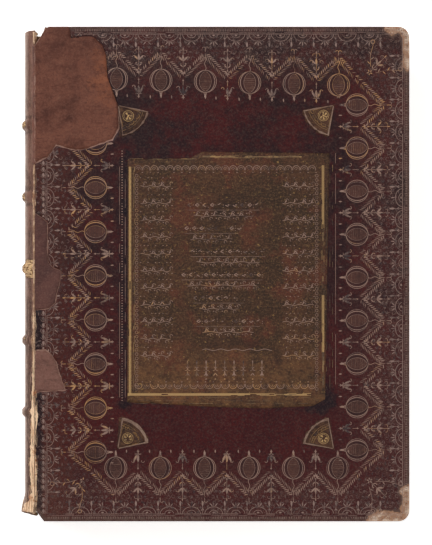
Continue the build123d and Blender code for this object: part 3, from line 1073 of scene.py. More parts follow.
def makePanelRules(left, right, head, tail):
    rules = Tooling(31, onCover(panelLook["proud"]), 0.05 * mm)
    giltRule(rules, (left, tail), (left, head - 4), 0.95)
    giltRule(rules, (left + 2.6, tail + 2), (left + 2.6, head - 4), 0.35, (0.3, 0.3))
    # the fore edge's rule has kept its gold in two stretches
    for y0, y1, bright in ((head - 3, 30, 0.85), (30, -14, 0.35), (-14, -52, 0.8), (-52, tail + 3, 0.3)):
        giltRule(rules, (right, y0), (right, y1), bright)
    for gap in (2.4, 4.6, 6.4):
        giltRule(rules, (right + gap, head + 4), (right + gap, tail + 4), 0.2, (0.35,))
        giltRule(rules, (left - 2, tail - gap + 0.4), (right - 4, tail - gap + 0.4), 0.25, (0.35,))
    giltRule(rules, (left - 1.5, tail), (20, tail), 0.95, (0.45, 0.9, 0.5))
    giltRule(rules, (20, tail), (right - 8, tail), 0.6, (0.4, 0.8, 0.4))
    giltRule(rules, (left, head + 1), (left + 46, head + 1), 0.3, (0.35, 0.35))
    giltRule(rules, (-8, head + 2.6), (58, head + 2.6), 0.45)
    rules.finish("panelGiltRules", finishes["gilt"], "front_cover", "tooling_gold")


def pendant(tool, along):
    force = tool.dice.uniform(0.1, 0.9)
    tool.leaf(along, -57.5, -90, 2.8, 1.1, force)
    tool.line([(along, -60), (along, -63)], 0.4, force)
    for side in (-1, 1):
        tool.arc(along + side * 1.3, -63.2, 1.2, 90, 90 + side * 200, 0.4, parts=6)
        tool.leaf(along, -66, -90 + side * 35, 2.4, 0.8, force)
    tool.leaf(along, -64.4, -90, 4.0, 1.2, force)
    tool.dot(along, -70.0, 0.55)


def makePanelTools(left, right, head, tail):
    look = panelLook
    marks = Tooling(32, onCover(look["proud"]), 0.06 * mm)
    marks.gold = lambda x, y: 0.1 + 0.22 * smooth(y, -40 * mm, -70 * mm) + 0.4 * drift(x, y, 12 * mm, 6.0)
    pitch = look["scallopPitch"]
    for i in range(int((right - left - 6) / pitch)):
        along = left + 5.6 + pitch * i
        for y, start, down in ((head - 5.6, 0, 1), (tail + 6.2, 180, -1)):
            marks.arc(along, y, pitch * 0.45, start - 20, start + 200, 0.5, parts=9)
            marks.arc(along, y, pitch * 0.24, start, start + 180, 0.35, parts=5)
            marks.dot(along + pitch / 2, y - 2.2 * down, 0.45)
            marks.dot(along, y, 0.4)
    count, step = look["sideBeads"]
    for x in (left + 4.4, right - 4.2):
        for i in range(count):
            marks.arc(x, head - 10 - step * i, 1.0, 0, 360, 0.35, parts=7)
    bothSides = ((left + 7, left + 27), (right - 27, right - 6))
    for i in range(int((head - tail - 26) / look["rowPitch"])):
        y = head - 17 - look["rowPitch"] * i
        for x0, x1 in bothSides:
            rowOfSprays(marks, x0, x1, y)
        marks.missing = 0.5
        for x0, x1 in bothSides:
            for k in range(9):
                marks.dot(x0 + (x1 - x0) * k / 8, y + look["rowPitch"] / 2, 0.4)
    for i, (x0, x1) in enumerate(look["middleRows"]):
        y = look["middleHead"] - look["middlePitch"] * i
        rowOfLaidLeaves(marks, x0, x1, y)
        rowOfSprays(marks, x0 + 4, x1 - 4, y - 7.2)
        marks.line([(x0 + (x1 - x0) * t / 8, y - 3.4) for t in range(9)], 0.3, 0.4)
    marks.missing = 0.1
    marks.line([(-8 + i * 1.4, -50.5 + 0.55 * math.sin(i * 0.9)) for i in range(34)], 0.5)
    count, start, step = look["pendants"]
    for i in range(count):
        pendant(marks, start + step * i)
    marks.finish("panelSmallTools", finishes["tooling"], "front_cover", "tooling_gold")


def makeBeadedRoll(left, right, head, tail):
    # just outside the panel, on the covering leather
    beads = Tooling(33, onCover(), gold=lambda x, y: 0.1)
    for i in range(96):
        beads.dot(left - 5.3, tail - 4 + 1.75 * i, 0.5)
    lines = ((left - 3.2, tail - 2, head - 6), (left - 7.0, tail - 2, head - 4),
             (right + 8.4, tail, head + 5))
    for x, y0, y1 in lines:
        for i in range(24):
            if beads.dice.random() >= 0.3:
                beads.line([(x, y0 + (y1 - y0) * (i + t) / 24) for t in (0, 0.5, 1)], 0.35)
    beads.finish("panelBeadedRoll", finishes["tooling"], "front_cover", "tooling_gold")


def makePanel():
    look = panelLook
    piece, places = overlaySheet("centre_panel", panelFinish(), look["proud"], "onlay_leather", 2.2 * mm)
    stained = []
    for x, y, z in places:
        near = min(math.hypot((x / mm - sx) / wide, (y / mm - sy) / tall)
                   for sx, sy, wide, tall in look["stains"])
        stained.append(0.75 * smooth(near, 1.5, 0.2))
    paint(piece, stained=stained)
    rules = [look[name] for name in ("leftRule", "rightRule", "headRule", "tailRule")]
    makePanelRules(*rules)
    makePanelTools(*rules)
    makeBeadedRoll(*rules)


# fans in the corners of the field
fanLook = {
    "ground": tone(44, 25, 22),
    "light": tone(84, 54, 40),
    "dusty": tone(140, 104, 68),
    "lip": (tone(108, 82, 70), tone(146, 118, 102), tone(188, 162, 142)),
    "lipGold": tone(142, 100, 52),
    "curve": (0.4, 1.8),  # the worn outer edge's narrowest and widest, mm
    "tornCurves": {"cornerFanTailSpine": (1.0, 2.8), "cornerFanTailFore": (0.7, 2.2)},
    "golden": {"cornerFanTailSpine": 1.05},  # the others have 0.65
    "proud": 0.26 * mm,
    "radius": 20.2,
    "halfAngle": 34.5,
    "flowerOut": 10.4,
}


def makeFans():
    look = fanLook
    ground = plainLeatherFinish("fanLeather", look["ground"], look["light"], look["dusty"])
    lipFinish = plainLeatherFinish("fanLip", *look["lip"], amber=look["lipGold"])
    for number, node in enumerate(sorted(n for n in frame["nodes"] if n.startswith("corner_fan"))):
        name = pieceName(node)
        overlaySheet(node, ground, look["proud"], "fan_leather", 1.6 * mm)
        low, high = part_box(node)
        middle = ((low.x + high.x) / 2, (low.y + high.y) / 2)
        # its point is the corner farthest from the middle, towards the cover's own corner
        point = max(flatOutline(node), key=lambda p: math.dist(p, middle) + 0.2 * (abs(p[0]) + abs(p[1])))
        heading = math.degrees(math.atan2(middle[1] - point[1], middle[0] - point[0]))
        golden = look["golden"].get(name, 0.65)
        tools = []
        for k, proud in enumerate((0.16, 0.07, 0.08)):
            tool = Tooling(41 + number * 3 + k, onCover(look["proud"]), proud * mm, lambda x, y: golden)
            tool.at(*point, heading)
            tool.missing = 0.25
            tools.append(tool)
        lip, arcs, flower = tools
        fanLip(lip, *look["tornCurves"].get(name, look["curve"]))
        fanArcs(arcs)
        out = look["flowerOut"]
        for turn in range(20, 380, 60):
            x, y = around(0.9, turn)
            flower.leaf(x, out + y, turn, 1.9, 1.5)
        flower.dot(0, out, 0.9)
        for ring in (2.7, 3.6):
            flower.arc(0, out, ring, 0, 360, 0.4, parts=16)
        lip.finish(name + "Lip", lipFinish, "front_cover", "fan_leather")
        arcs.finish(name + "Edging", finishes["fanLines"], "front_cover", "tooling_gold")
        flower.finish(name + "Flower", finishes["gilt"], "front_cover", "tooling_gold")


def fanLip(tool, narrow, wide):
    # raised, worn edges: two straight sides and the curve
    radius, half = fanLook["radius"], fanLook["halfAngle"]
    for side in (-1, 1):
        x, y = around(radius, 90 + side * half)
        path = [(x * t, 0.9 + y * t) for t in (0.03, 0.2, 0.4, 0.6, 0.8, 1.0)]
        tool.ridge(path, [tool.dice.uniform(0.5, 1.3) for p in path], keep=0.75)
    path = [around(radius + 0.4, 90 - half + half * k / 6) for k in range(13)]
    tool.ridge(path, [tool.dice.uniform(narrow, wide) for p in path], keep=0.9)


def fanArcs(tool):
    radius, half = fanLook["radius"], fanLook["halfAngle"]
    for inner, width in ((2.6, 0.5), (5.4, 0.45)):
        tool.arc(0, 0, radius - inner, 90 - half + 3, 90 + half - 3, width, parts=14)
    for k in range(6):  # scallops between the two arcs
        turn = 90 - half + 7 + (2 * half - 14) * k / 5
        tool.arc(*around(radius - 5.2, turn), 1.6, turn - 80, turn + 80, 0.55, parts=6)
        tool.dot(*around(radius - 4.4, turn), 0.45)
    for side in (-1, 1):
        tool.line([around(r, 90 + side * (half - 5)) for r in (4.5, 9, radius - 5)], 0.45)


makePanel()
makeFans()
print("panel and fans done")


# spine leather, with its bands, and the torn joint
spineLook = {
    "bandProud": 2.0 * mm,
    "bandWidth": 6.4 * mm,
    "across": 44,  # points from joint to joint
    "along": 300,
    "thickness": 0.9 * mm,
    "brown": tone(90, 58, 48),
    "pale": tone(122, 87, 74),
    "edge": tone(198, 176, 162),  # painted highlight at the turn of the spine
    "cord": (tone(96, 64, 40), tone(206, 170, 126)),
    "worn": tone(172, 140, 122),
    "dark": tone(52, 31, 24),
    "bare": tone(206, 176, 144),
    "cream": tone(244, 210, 174),
    "dull": tone(134, 100, 80),
    "hide": (tone(164, 112, 78), tone(178, 118, 78)),
    "curl": [0.25, 0.8, 1.5, 2.2],  # how the ends turn in over the endbands, mm
    "tailEnd": spineLow.y - 2.2 * mm,
    "spread": 2.6 * mm,  # how far the loosened tail stands away from the leaves
    "headTear": 73.0 * mm,  # the front joint is torn from here to the tail
    "tearStep": 0.9 * mm,
    "tearAcross": 7,  # points across each strip of bare hide
    "tearThickness": 0.3 * mm,
    "stripThickness": (0.6 * mm, 0.35 * mm),  # of the back and the front joint's strip
    # height, and how wide the joint is torn there on the spine and on the board, all in mm
    "tears": [(-165, 19, 0.6), (-156, 15, 0.8), (-151, 8, 0.8), (-146, 4.0, 0.6), (-138, 5.5, 1.0),
              (-130, 7.5, 1.0), (-120, 6.0, 0.6), (-108, 4.5, 0.6), (-95, 4.5, 2.0), (-84, 3.6, 0.8),
              (-60, 2.4, 0.3), (-20, 2.2, 0.3), (-3, 1.8, 0.3), (10, 1.8, 0.3), (40, 2.0, 0.2),
              (73, 0.8, 0.2), (152, 0.8, 0.0), (163, 2.4, 0.0)],
}
bandYs = [sum(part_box(f"band_cord_{i}")[k].y for k in (0, 1)) / 2 for i in range(1, 6)]
bandBulge = jointX - spineLow.x
spineBulge = bandBulge - spineLook["bandProud"]


def roundOf(bulge):
    # radius and axis of a round through both outer joint corners
    radius = (midZ**2 + bulge**2) / (2 * bulge)
    return radius, jointX - bulge + radius


spineRadius, spineAxis = roundOf(spineBulge)
backRadius = spineRadius - 1.5 * mm  # under the leather and lining
spineArc = 2 * spineRadius * math.asin(midZ / spineRadius)


def bandAt(y):
    half = spineLook["bandWidth"] / 2
    return max(smooth(abs(y - b), half * 1.25, half * 0.45) for b in bandYs)


def spinePoint(t, y, lift=0.0):
    # t goes round the spine from 0 at the front joint to 1 at the back
    bulge = spineBulge + (bandBulge - spineBulge) * bandAt(y)
    radius, axis = roundOf(bulge + spineLook["spread"] * smooth(y, -146 * mm, -161 * mm))
    angle = math.asin(midZ / radius) * (1 - 2 * t)
    x, z = axis - radius * math.cos(angle), midZ + radius * math.sin(angle)
    lift += 0.12 * mm * (drift(z, y, 9 * mm, 1.0) - 1) * smooth(t, 0, 0.1) * smooth(t, 1, 0.9)
    return x - math.cos(angle) * lift, y, z + math.sin(angle) * lift


def tearWidths(y):
    tears = spineLook["tears"]
    for (y0, s0, b0), (y1, s1, b1) in zip(tears, tears[1:]):
        if y0 * mm <= y <= y1 * mm:
            t = (y / mm - y0) / (y1 - y0)
            return (s0 + (s1 - s0) * t) * mm, (b0 + (b1 - b0) * t) * mm
    return 0.0, 0.0


def spineFinish():
    look = spineLook
    f = Finish("spineCalf", 0.72, 0.08)
    f.base = f.mix(f.patches(14, 0.36, 0.62, 6.0, 0.7, (1, 0.5, 1)), look["brown"], look["pale"])
    # painted highlight at the turn of the spine
    f.coat(look["edge"], f.painted("faded"), 0.6)
    ragged = f.steps(f.axis("Y"), 30 * mm, -50 * mm, 0.3, 1.0)
    # painted shade down the spine's side and at the feet of the bands, with patches of soot by the joint
    f.coat(look["dark"], f.steps(f.frayed("sooty", 5, -0.3, 0.4, 6.0, 0.75), 0.25, 0.8), 0.7)
    speckled(f, look["worn"], look["dark"], 0.3)
    # streaks and cracks along the spine, more of them towards the tail
    streaks = f.patches(1.6, 0.5, 0.64, 5.0, 0.75, (1, 0.12, 1), (0, 5, 0))
    f.coat(look["worn"], streaks, f.times(ragged, 0.7))
    f.coat(look["dark"], f.patches(1.8, 0.54, 0.62, 6.0, 0.75, (1, 0.16, 1)), f.times(ragged, 0.75))
    f.coat(look["bare"], f.steps(f.frayed("bared", 2.4, -0.4, 0.4, 6.0, 0.8), 0.5, 0.8))
    # cord shows through where a band has lost its leather
    strands = f.patches(1.3, 0.44, 0.56, 5.0, 0.75, (0.35, 1, 0.35), (2, 0, 2))
    opened = f.frayed("opened", 3.0, -0.35, 0.35, 6.0, 0.8, (0, 2, 5))
    f.coat(look["dark"], f.steps(opened, 0.4, 0.46))
    f.coat(f.mix(strands, *look["cord"]), f.steps(opened, 0.48, 0.56))
    leatherGrain(f, 1.0, 0.25)
    return f.done()


def spineWear(t, y, z, end):
    # how bared, sooty and in painted shade, lit by a painted edge highlight, and opened the spine is at one
    # place; end is its height with the ragged ends
    joint = smooth(t, 0.1, 0.0)
    lower = smooth(y, 80 * mm, -60 * mm)
    crown = bandAt(y) * (0.75 + 0.25 * drift(z, y, 5 * mm, 4.0))
    bared = 0.4 * joint * (0.3 + 0.7 * lower) + 0.2 * crown + 0.4 * smooth(abs(end), 155 * mm, 161 * mm)
    # painted shade at the feet of the bands and down the spine's side, and patches of soot by the joint
    foot = max(smooth(abs(abs(y - b) - spineLook["bandWidth"] * 0.8), 2.2 * mm, 0.0) for b in bandYs)
    sooty = (0.15 + 0.4 * lower) * smooth(t, 0.03, 0.1) * smooth(t, 0.34, 0.22) + 0.5 * foot
    sooty += 0.4 * smooth(drift(z, y, 18 * mm, 8.0), -0.1, 0.4) * smooth(t, 0, 0.12)
    # painted highlight where the spine turns away
    faded = smooth(t, 0.14, 0.36) * smooth(t, 0.95, 0.6)
    middle = smooth(abs(y - bandYs[2]), 8 * mm, 4 * mm)
    outer = (0.45 + 0.35 * smooth(y, 0, 60 * mm)) * smooth(t, 0.16, 0.24)
    opened = smooth(t, 0.66, 0.56) * max(0.95 * middle, crown * outer)
    return bared, sooty, faded, opened


def makeSpine():
    look = spineLook
    head, tail, steps, across = spineHigh.y, look["tailEnd"], look["along"], look["across"]
    lastT = 1 - boardShape["stripLap"] / spineArc
    levels = [(tail, -drop) for drop in reversed(look["curl"])]
    levels += [(tail + (head - tail) * i / steps, 0.0) for i in range(steps + 1)]
    levels += [(head, -drop) for drop in look["curl"]]
    places, wear = [], []
    for y, drop in levels:
        atEnd = y > head - 0.1 * mm or y < tail + 0.1 * mm
        for k in range(across + 1):
            t = lastT * k / across
            x, end, z = spinePoint(t, y, drop * mm)
            if atEnd:
                end += 0.5 * mm * drift(z, y, 6 * mm, 2.0) - math.copysign(0.5 * abs(drop) / 2.2 * mm, y)
            places.append((min(x, jointX), end, min(max(z, 0.0), topZ)))
            wear.append(spineWear(t, y, z, end))
    faces = gridFaces(numbered(len(levels), across + 1))
    piece = makePiece("spineLeather", places, faces, spineFinish(), "text_block", "spine_leather")
    paint(piece, **dict(zip(("bared", "sooty", "faded", "opened"), zip(*wear))))
    thicken(piece, look["thickness"])
    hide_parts("spine_leather")


def bareHideFinish():
    look = spineLook
    f = Finish("bareHide", 0.8, 0.15)
    strands = f.mottle(1.5, 6.0, 0.75, (1, 0.12, 1))
    brown, warm = look["hide"]
    f.base = f.mix(f.steps(strands, 0.34, 0.56), brown, look["cream"])
    f.coat(warm, f.patches(7, 0.54, 0.66, 5.0, 0.75))
    f.coat(look["dark"], f.patches(1.9, 0.54, 0.61, 6.0, 0.75, (1, 0.14, 1), (3, 3, 3)), 0.8)
    # darker towards the head, where the crack is narrow
    narrow = f.steps(f.axis("Y"), -90 * mm, -40 * mm)
    f.coat(look["dull"], narrow, f.patches(9, 0.42, 0.56, 4.0, 0.7, shift=(8, 0, 0), start=0.25, end=0.9))
    f.relief(strands, 0.5)
    return f.done()


def makeTornJoint(tail, head, where, finish, strands):
    # bare hide where the leather of the front joint has come away, a strip on each side
    count = int((head - tail) / spineLook["tearStep"])
    across = spineLook["tearAcross"]
    onSpine, onBoard = [], []
    for i in range(count + 1):
        y = tail + (head - tail) * i / count
        wide, onto = tearWidths(y)
        wide *= 1 + 0.55 * drift(0.3, y, 3.0 * mm, 1.0)
        onto *= 1 + 0.7 * drift(0.7, y, 3.4 * mm, 2.0)
        for k in range(across):
            part = k / (across - 1)
            crown = math.sin(math.pi * min(1, part * 1.1)) ** 0.5
            lift = (0.14 + 0.1 * drift(part * 3 * mm, y, 1.4 * mm, 5.0)) * mm * crown
            x, _, z = spinePoint(part * wide / spineArc, y, lift)
            onSpine.append((x, y, min(z, topZ)))
            crown = math.sin(math.pi * (0.08 + 0.92 * part)) ** 0.5
            lift = (0.12 + 0.1 * drift(part * 3 * mm, y, 1.6 * mm, 7.0)) * mm * crown
            onBoard.append((coverX + onto * part, y, topZ + coverRise(coverX, y) + lift - 0.02 * mm))
    strips = [("spineTear", "text_block", "spine_leather", onSpine)]
    if where != "Head":  # there the repair still covers the board
        strips.append(("boardTear", "front_cover", "covering_leather", onBoard))
    for name, body, slot, places in strips:
        faces = gridFaces(numbered(count + 1, across), turned=places is onBoard)
        strip = makePiece(name + where, places, faces, finish, body, slot)
        thicken(strip, spineLook["tearThickness"])
    fibres = Tooling(51, onCover(), 0.1 * mm)
    strays = Tooling(52, lambda x, y: 0.0, 0.1 * mm)
    for i in range(strands):
        y = tail + (head - tail) * fibres.dice.random() ** 1.6
        wide, onto = tearWidths(y)
        long = min(fibres.dice.uniform(2.5, 9), (head - y) / mm)
        width = fibres.dice.uniform(0.15, 0.35)
        if i % 2:
            x = coverX / mm + fibres.dice.uniform(0.3, onto / mm + 0.6)
            slant = fibres.dice.uniform(-0.08, 0.08)
            path = [(x + slant * long * t, y / mm + long * t) for t in (0, 0.3, 0.7, 1)]
            fibres.ridge(path, [width, width, width, width * 0.4])
            continue
        part = fibres.dice.uniform(0.2, 1.3) * wide / spineArc
        slant = fibres.dice.uniform(-0.012, 0.012)
        spots = []
        for t in (0, 0.3, 0.7, 1):
            spots.append(spinePoint(max(part + slant * t, 0.02), y + long * t * mm, 0.12 * mm))
        first = len(strays.points)
        strays.ridge([(x / mm, yy / mm) for x, yy, z in spots], [width] * 4)
        for k, (x, yy, z) in enumerate(strays.points[first:]):  # lays the strand on the round spine
            strays.points[first + k] = (x, yy, min(z + spots[k // 4][2], topZ))
    fibres.finish("boardFibres" + where, finish, "front_cover", "covering_leather")
    strays.finish("spineFibres" + where, finish, "text_block", "spine_leather")


def jointStrip(name, yLow, yHigh, front):
    # leather over the joint, from the board round onto the spine
    reach = boardShape["stripLap"]
    rows = int((yHigh - yLow) / (2 * mm))
    columns = 12
    flat, lift = (topZ + 0.08 * mm, 0.06 * mm) if front else (0.0, 0.0)
    places = []
    for i in range(rows + 1):
        y = yLow + (yHigh - yLow) * i / rows
        ragged = 0.4 * mm * drift(0.0, y, 3 * mm, 3.0) if front else 0.0
        for k in range(columns + 1):
            s = (2 * k / columns - 1) * (reach + ragged)
            if s < 0:
                places.append((jointX - s, y, flat))
            else:
                t = s / spineArc
                x, _, z = spinePoint(t if front else 1 - t, y, lift)
                places.append((x, y, min(z, topZ + lift) if front else max(z, 0.0)))
    faces = gridFaces(numbered(rows + 1, columns + 1), turned=not front)
    finish, slot = ("headJoint", "repair_leather") if front else ("covering", "covering_leather")
    piece = makePiece(name, places, faces, finishes[finish], None, slot)
    some, none = [0.35] * len(places), [0.0] * len(places)
    paint(piece, rubbed=some, rim=some, inked=none, ambered=none)
    thicken(piece, spineLook["stripThickness"][front])
    if front:
        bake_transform(piece)
    else:
        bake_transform(piece)


finishes["headJoint"] = plainLeatherFinish("headJointCalf", *repairLook["tones"]["head"])
makeSpine()
bareHide = bareHideFinish()
makeTornJoint(spineLook["tailEnd"] + 1.0 * mm, spineLook["headTear"], "Low", bareHide, 150)
makeTornJoint(153.5 * mm, spineHigh.y - 1.0 * mm, "Head", bareHide, 14)
jointStrip("headJoint", spineLook["headTear"] + 0.5 * mm, 152.0 * mm, True)
jointStrip("backJoint", -headY + 12.5 * mm, headY - 12.5 * mm, False)
print("spine and joints done")


# leaves
leavesLook = {
    "layers": 70,
    "across": 60,  # points from the joint to the fore edge
    "up": 78,
    "gatherings": 9,
    "uneven": 0.22 * mm,
    "hollow": 4.5 * mm,  # of the fore edge
    "light": tone(214, 190, 158),
    "dark": tone(170, 134, 104),
    "line": tone(118, 88, 66),
    "spot": tone(120, 84, 54),
    "paper": (tone(226, 206, 176), tone(204, 180, 148), tone(152, 112, 78)),
}


def leavesFinish():
    look = leavesLook
    f = Finish("leafEdges", 0.85, 0.15)
    f.base = f.mix(f.patches(40, 0.3, 0.7, 5.0, 0.6, (1, 1, 0.3)), look["light"], look["dark"])
    sheets = f.patches(1.4, 0.4, 0.62, 3.0, 0.7, (0.06, 0.06, 1.6))
    f.coat(look["line"], sheets, 0.6)
    f.coat(look["line"], f.steps(f.painted("dust"), 0.2, 1.0), 0.6)
    f.coat(look["spot"], f.patches(12, 0.62, 0.74, 4.0, 0.6, shift=(3, 3, 3)), 0.35)
    f.relief(sheets, 0.12)
    return f.done()


def paperFinish(name, light, dark, stain):
    f = Finish(name, 0.85, 0.15)
    pulp = f.together(f.mottle(2.6, 7.0, 0.8), 0.75, f.mottle(40, 6.0, 0.7))
    f.base = f.mix(f.steps(pulp, 0.38, 0.62), light, dark)
    laid = f.patches(1.1, 0.3, 0.7, 1.0, 0.4, (0.02, 1, 1))
    f.coat(dark, laid, 0.22)
    f.coat(stain, f.patches(5, 0.64, 0.74, 5.0, 0.7, shift=(4, 2, 0)), 0.5)  # foxing
    # the turned-in leather behind it shows as a browned, raised margin
    margins = []
    for place, edge in ((f.axis("X"), foreX), (f.maths("ABSOLUTE", f.axis("Y"), 0), headY)):
        line = edge - boardShape["turnIn"]
        margins.append(f.steps(place, line - mm, line + mm))
    turned = f.maths("MAXIMUM", *margins)
    f.coat(stain, turned, f.patches(9, 0.1, 0.7, 5.0, 0.7, shift=(0, 4, 0), start=0.2, end=0.65))
    f.coat(stain, f.painted("soiled"), 0.6)
    f.relief(f.plus(f.times(laid, 0.1), turned), 0.3)
    return f.done()


def makeLeaves():
    look = leavesLook
    high, half = leavesHigh.x, leavesHigh.y
    lowZ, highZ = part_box("back_endleaf")[1].z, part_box("front_endleaf")[0].z
    rise = highZ - lowZ
    across = [jointX + (high - jointX) * i / look["across"] for i in range(look["across"] + 1)]
    up = [-half + 2 * half * i / look["up"] for i in range(look["up"] + 1)]
    edge = [(x, half) for x in across] + [(high, -y) for y in up[1:-1]]
    edge += [(x, -half) for x in reversed(across)]
    places, dust = [], []
    for layer in range(look["layers"] + 1):
        part = layer / look["layers"]
        z = lowZ + rise * part
        bow = look["hollow"] * (1 - (2 * part - 1) ** 2)
        fold = abs(math.sin(math.pi * look["gatherings"] * part)) * 0.1 * mm
        ring = []
        for x, y in edge:
            wobble = look["uneven"] * drift(x + y, z * 40, 7 * mm, layer * 0.37) + fold
            if abs(y) < half:
                ring.append((x - bow - abs(wobble), y, z))
            else:
                pulledIn = bow * smooth(x, high - 60 * mm, high) if x > jointX + mm else 0.0
                ring.append((x - pulledIn, y - math.copysign(abs(wobble), y), z))
        # the sewn back
        back = min(spineAxis - math.sqrt(backRadius**2 - (z - midZ) ** 2) + 0.1 * mm, jointX)
        ring += [(back, y, z) for y in up]
        places += ring
        dust += [0.5 * smooth(part, 0.75, 1.0) + 0.4 * smooth(p[1], half - mm, half) for p in ring]
    rows = numbered(look["layers"] + 1, len(ring))
    faces = gridFaces(rows, closed=True) + [tuple(rows[0]), tuple(reversed(rows[-1]))]
    finish = leavesFinish()
    piece = makePiece("leaves", places, faces, finish, "text_block", "leaves")
    paint(piece, dust=dust)
    makeShoulders(up, rise, finish)
    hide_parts("text_block")


def makeShoulders(up, rise, finish):
    # the backed shoulders of the outer gatherings
    edge = math.sqrt(backRadius**2 - (jointX - spineAxis) ** 2)
    section = []
    for k in range(7):
        z = rise / 2 + (edge - rise / 2) * k / 6
        section.append((spineAxis - math.sqrt(backRadius**2 - z**2) + 0.1 * mm, z))
    section.append((jointX, rise / 2))
    places, faces = [], []
    for sign in (-1, 1):
        rows = numbered(len(up), len(section), len(places))
        places += [(x, y * 0.9995, midZ + sign * z) for y in up for x, z in section]
        faces += gridFaces(rows, closed=True, turned=sign > 0)
        for end, outward in ((rows[0], sign < 0), (rows[-1], sign > 0)):
            faces.append(tuple(end) if outward else tuple(reversed(end)))
    shoulders = makePiece("backedShoulders", places, faces, finish, "text_block", "leaves")
    paint(shoulders, dust=[0.4] * len(places))


def makeSheet(node, body, side, coat):
    # a leaf of paper with soft cockling and a soiled edge; side is 1 face up and -1 face down
    low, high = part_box(node)
    loop = [(low.x, low.y), (high.x, low.y), (high.x, high.y), (low.x, high.y)]
    if "pastedown" in node:
        loop = flatOutline(node, side)[::side]
    loop = evenOutline(loop, 2.5 * mm)
    points, faces = fillSheet(loop, 5 * mm)
    level = high.z if side > 0 else low.z
    places = []
    for i, (x, y) in enumerate(points):
        if i < len(loop) and x > low.x + mm:  # worn, not quite straight edges
            x -= 0.3 * mm * abs(drift(x, y, 5 * mm, 2.0))
            y -= math.copysign(0.3 * mm, y) * abs(drift(x, y, 5 * mm, 4.0))
        places.append((x, y, level + side * 0.05 * mm * (drift(x, y, 45 * mm, 6.0) - 0.6)))
    piece = makePiece(pieceName(node), places, [f[::side] for f in faces], coat, body, "endpaper")
    paint(piece, soiled=[smooth(gap, 22 * mm, 0) * 0.8 for gap in gapTo(points, loop)])
    thicken(piece, 0.12 * mm)
    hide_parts(node)


makeLeaves()
paper = paperFinish("endpaper", *leavesLook["paper"])
makeSheet("front_endleaf", "text_block", 1, paper)
makeSheet("back_endleaf", "text_block", -1, paper)
makeSheet("back_pastedown", "back_cover", 1, paper)
makeSheet("front_pastedown", "front_cover", -1, paper)
print("leaves done")


# inner structure: boards, cords, lining and the wound endbands
bindingLook = {
    "pasteboard": (tone(150, 126, 96), tone(112, 90, 66)),
    "hemp": (tone(186, 158, 118), tone(112, 86, 58)),
    "lining": (tone(158, 132, 100), tone(92, 62, 42)),
    "silks": (tone(196, 172, 140), tone(138, 98, 76), tone(88, 64, 50)),
    "endbandWidth": 2.5 * mm,
    "threadWidth": 0.56 * mm,
    "turns": 42,
}


def layeredFinish(name, light, dark, size, stretch, depth):
    # two tones in streaks: layers of a board, strands of a cord, threads of a lining
    f = Finish(name, 0.85, 0.15)
    streaks = f.mottle(size, 5.0, 0.7, stretch)
    f.base = f.mix(f.steps(streaks, 0.36, 0.64), dark, light)
    f.coat(dark, f.patches(11, 0.52, 0.72, 5.0, 0.65, shift=(2, 2, 2)), 0.6)
    f.relief(streaks, depth)
    return f.done()


def silkFinish():
    light, dark, grime = bindingLook["silks"]
    f = Finish("endbandSilk", 0.7, 0.2)
    f.base = f.mix(f.steps(f.painted("second"), 0.4, 0.6), light, dark)
    f.coat(grime, f.patches(2.5, 0.4, 0.7, 5.0, 0.7), 0.55)
    f.relief(f.mottle(0.35, 3.0, 0.7), 0.1)
    return f.done()


def tubeAlong(path, radius, sides):
    # points and faces of a round tube that follows a path
    places = []
    for i, point in enumerate(path):
        ahead = (path[min(i + 1, len(path) - 1)] - path[max(i - 1, 0)]).normalized()
        across = ahead.cross(Vector((0.3, 0.2, 1.0))).normalized()
        up = across.cross(ahead)
        for k in range(sides):
            c, s = around(radius, 360 * k / sides)
            places.append(point + across * c + up * s)
    rings = numbered(len(path), sides)
    faces = gridFaces(rings, closed=True, turned=True) + [tuple(reversed(rings[0])), tuple(rings[-1])]
    return places, faces


def makeEndband(node):
    # thread wound in two colours over a core on the ends of the leaves
    look = bindingLook
    low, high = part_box(node)
    y = (low.y + high.y) / 2
    thread = look["threadWidth"] / 2
    core = look["endbandWidth"] / 2 - thread * 1.6
    line = backRadius - look["endbandWidth"] / 2
    half = math.asin((leavesHigh.z - leavesLow.z) / 2 / line) * 0.985
    stepsPerTurn = 10
    steps = look["turns"] * stepsPerTurn
    winding, second, middle = [], [], []
    for i in range(steps + 1):
        along = half * (2 * i / steps - 1)
        out = Vector((-math.cos(along), 0, math.sin(along)))
        centre = Vector((spineAxis, y, midZ)) + out * line
        reach = core + thread * (0.55 + 0.15 * drift(i * mm, y, 17 * mm, 3.0))
        c, s = around(reach, 360 * i / stepsPerTurn)
        winding.append(centre + out * c + Vector((0, s, 0)))
        second += [float(i // (stepsPerTurn * 3) % 2)] * 6
        if i % stepsPerTurn == 0:
            middle.append(centre)
    name = pieceName(node)
    silk = makePiece(name, *tubeAlong(winding, thread, 6), silkFinish(), "text_block", "endband_thread")
    paint(silk, second=second)
    makePiece(name + "Core", *tubeAlong(middle, core, 10), hemp, "text_block", "hemp_cord")
    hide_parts(node)


pasteboard = layeredFinish("pasteboard", *bindingLook["pasteboard"], 1.5, (0.12, 0.12, 2.0), 0.1)
hemp = layeredFinish("hempCord", *bindingLook["hemp"], 1.2, (0.3, 1.0, 0.3), 0.25)
lining = layeredFinish("spineLining", *bindingLook["lining"], 1.0, (1.0, 0.2, 1.0), 0.1)
for node, piece in frame["nodes"].items():
    if piece.hide_render:
        continue
    inner = {"board": pasteboard, "lining": lining}.get(node.split("_")[-1])
    if inner or "cord" in node or "slips" in node:
        for place in piece.material_slots:
            place.material = inner or hemp
makeEndband("head_endband")
makeEndband("tail_endband")
print("inner structure done")


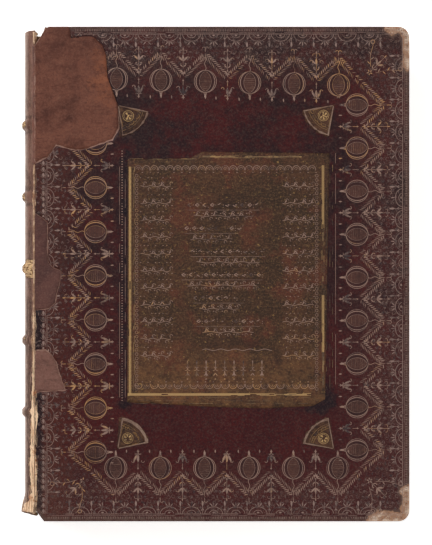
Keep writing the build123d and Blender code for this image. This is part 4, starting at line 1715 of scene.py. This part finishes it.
# floor, light and camera
studio = {
    "widthShown": 288.0 * mm,  # across the picture, at the front cover
    "cameraHeight": 1.7,
    "centre": (1.0 * mm, 1.0 * mm),
    "floor": (4.0, 0.2 * mm),  # half its width, and how far it lies under the book
    "paleFloor": tone(252, 252, 252),
    "white": (1, 1, 1, 1),
    "floorGlow": 0.6,  # lit from below, as a light table
    "keyPower": 29.0,
    # place, size and share of the key's power
    "lamps": {"keyLight": ((-1.0, 0.9, 1.5), 1.2, 1.0), "fillLight": ((1.1, -0.5, 1.3), 1.4, 0.45)},
    "skyOverhead": 0.03,
    "skyAround": 0.8,
    "skyFade": (0.15, 0.5),  # heights between which the sky dims
}


def inScene(thing):
    bpy.context.scene.collection.objects.link(thing)
    return thing


def makeFloor():
    far, drop = studio["floor"]
    mesh = bpy.data.meshes.new("floor")
    corners = [(-far, -far, -drop), (far, -far, -drop), (far, far, -drop), (-far, far, -drop)]
    mesh.from_pydata(corners, [], [(0, 1, 2, 3)])
    f = Finish("paleFloor", 0.9, 0.1)
    f.base = studio["paleFloor"]
    f.set("Emission Color", studio["white"])
    f.set("Emission Strength", studio["floorGlow"])
    mesh.materials.append(f.done())
    inScene(bpy.data.objects.new("floor", mesh))


def makeSky():
    # bright round the horizon and dim overhead
    world = bpy.data.worlds.new("studio")
    world.use_nodes = True
    tree = world.node_tree
    height = tree.nodes.new("ShaderNodeSeparateXYZ")
    fade = tree.nodes.new("ShaderNodeMapRange")
    values = (*studio["skyFade"], studio["skyAround"], studio["skyOverhead"])
    for socket, value in zip(("From Min", "From Max", "To Min", "To Max"), values):
        fade.inputs[socket].default_value = value
    tree.links.new(tree.nodes.new("ShaderNodeTexCoord").outputs["Generated"], height.inputs[0])
    tree.links.new(height.outputs["Z"], fade.inputs["Value"])
    tree.links.new(fade.outputs[0], tree.nodes["Background"].inputs["Strength"])
    tree.nodes["Background"].inputs["Color"].default_value = studio["white"]
    bpy.context.scene.world = world


def makeStudio():
    makeFloor()
    makeSky()
    for name, (place, size, share) in studio["lamps"].items():
        light = bpy.data.lights.new(name, "AREA")
        light.energy = studio["keyPower"] * share
        light.size = size
        lamp = inScene(bpy.data.objects.new(name, light))
        lamp.location = place
        lamp.rotation_euler = (-Vector(place)).to_track_quat("-Z", "Y").to_euler()
    lens = bpy.data.cameras.new("camera")
    lens.sensor_fit = "HORIZONTAL"
    distance = studio["cameraHeight"]
    lens.angle = 2 * math.atan(studio["widthShown"] / 2 / distance)
    camera = inScene(bpy.data.objects.new("camera", lens))
    camera.location = (*studio["centre"], topZ + distance)
    bpy.context.scene.camera = camera
    bpy.context.scene.view_settings.view_transform = "Standard"


makeStudio()
print("studio done")
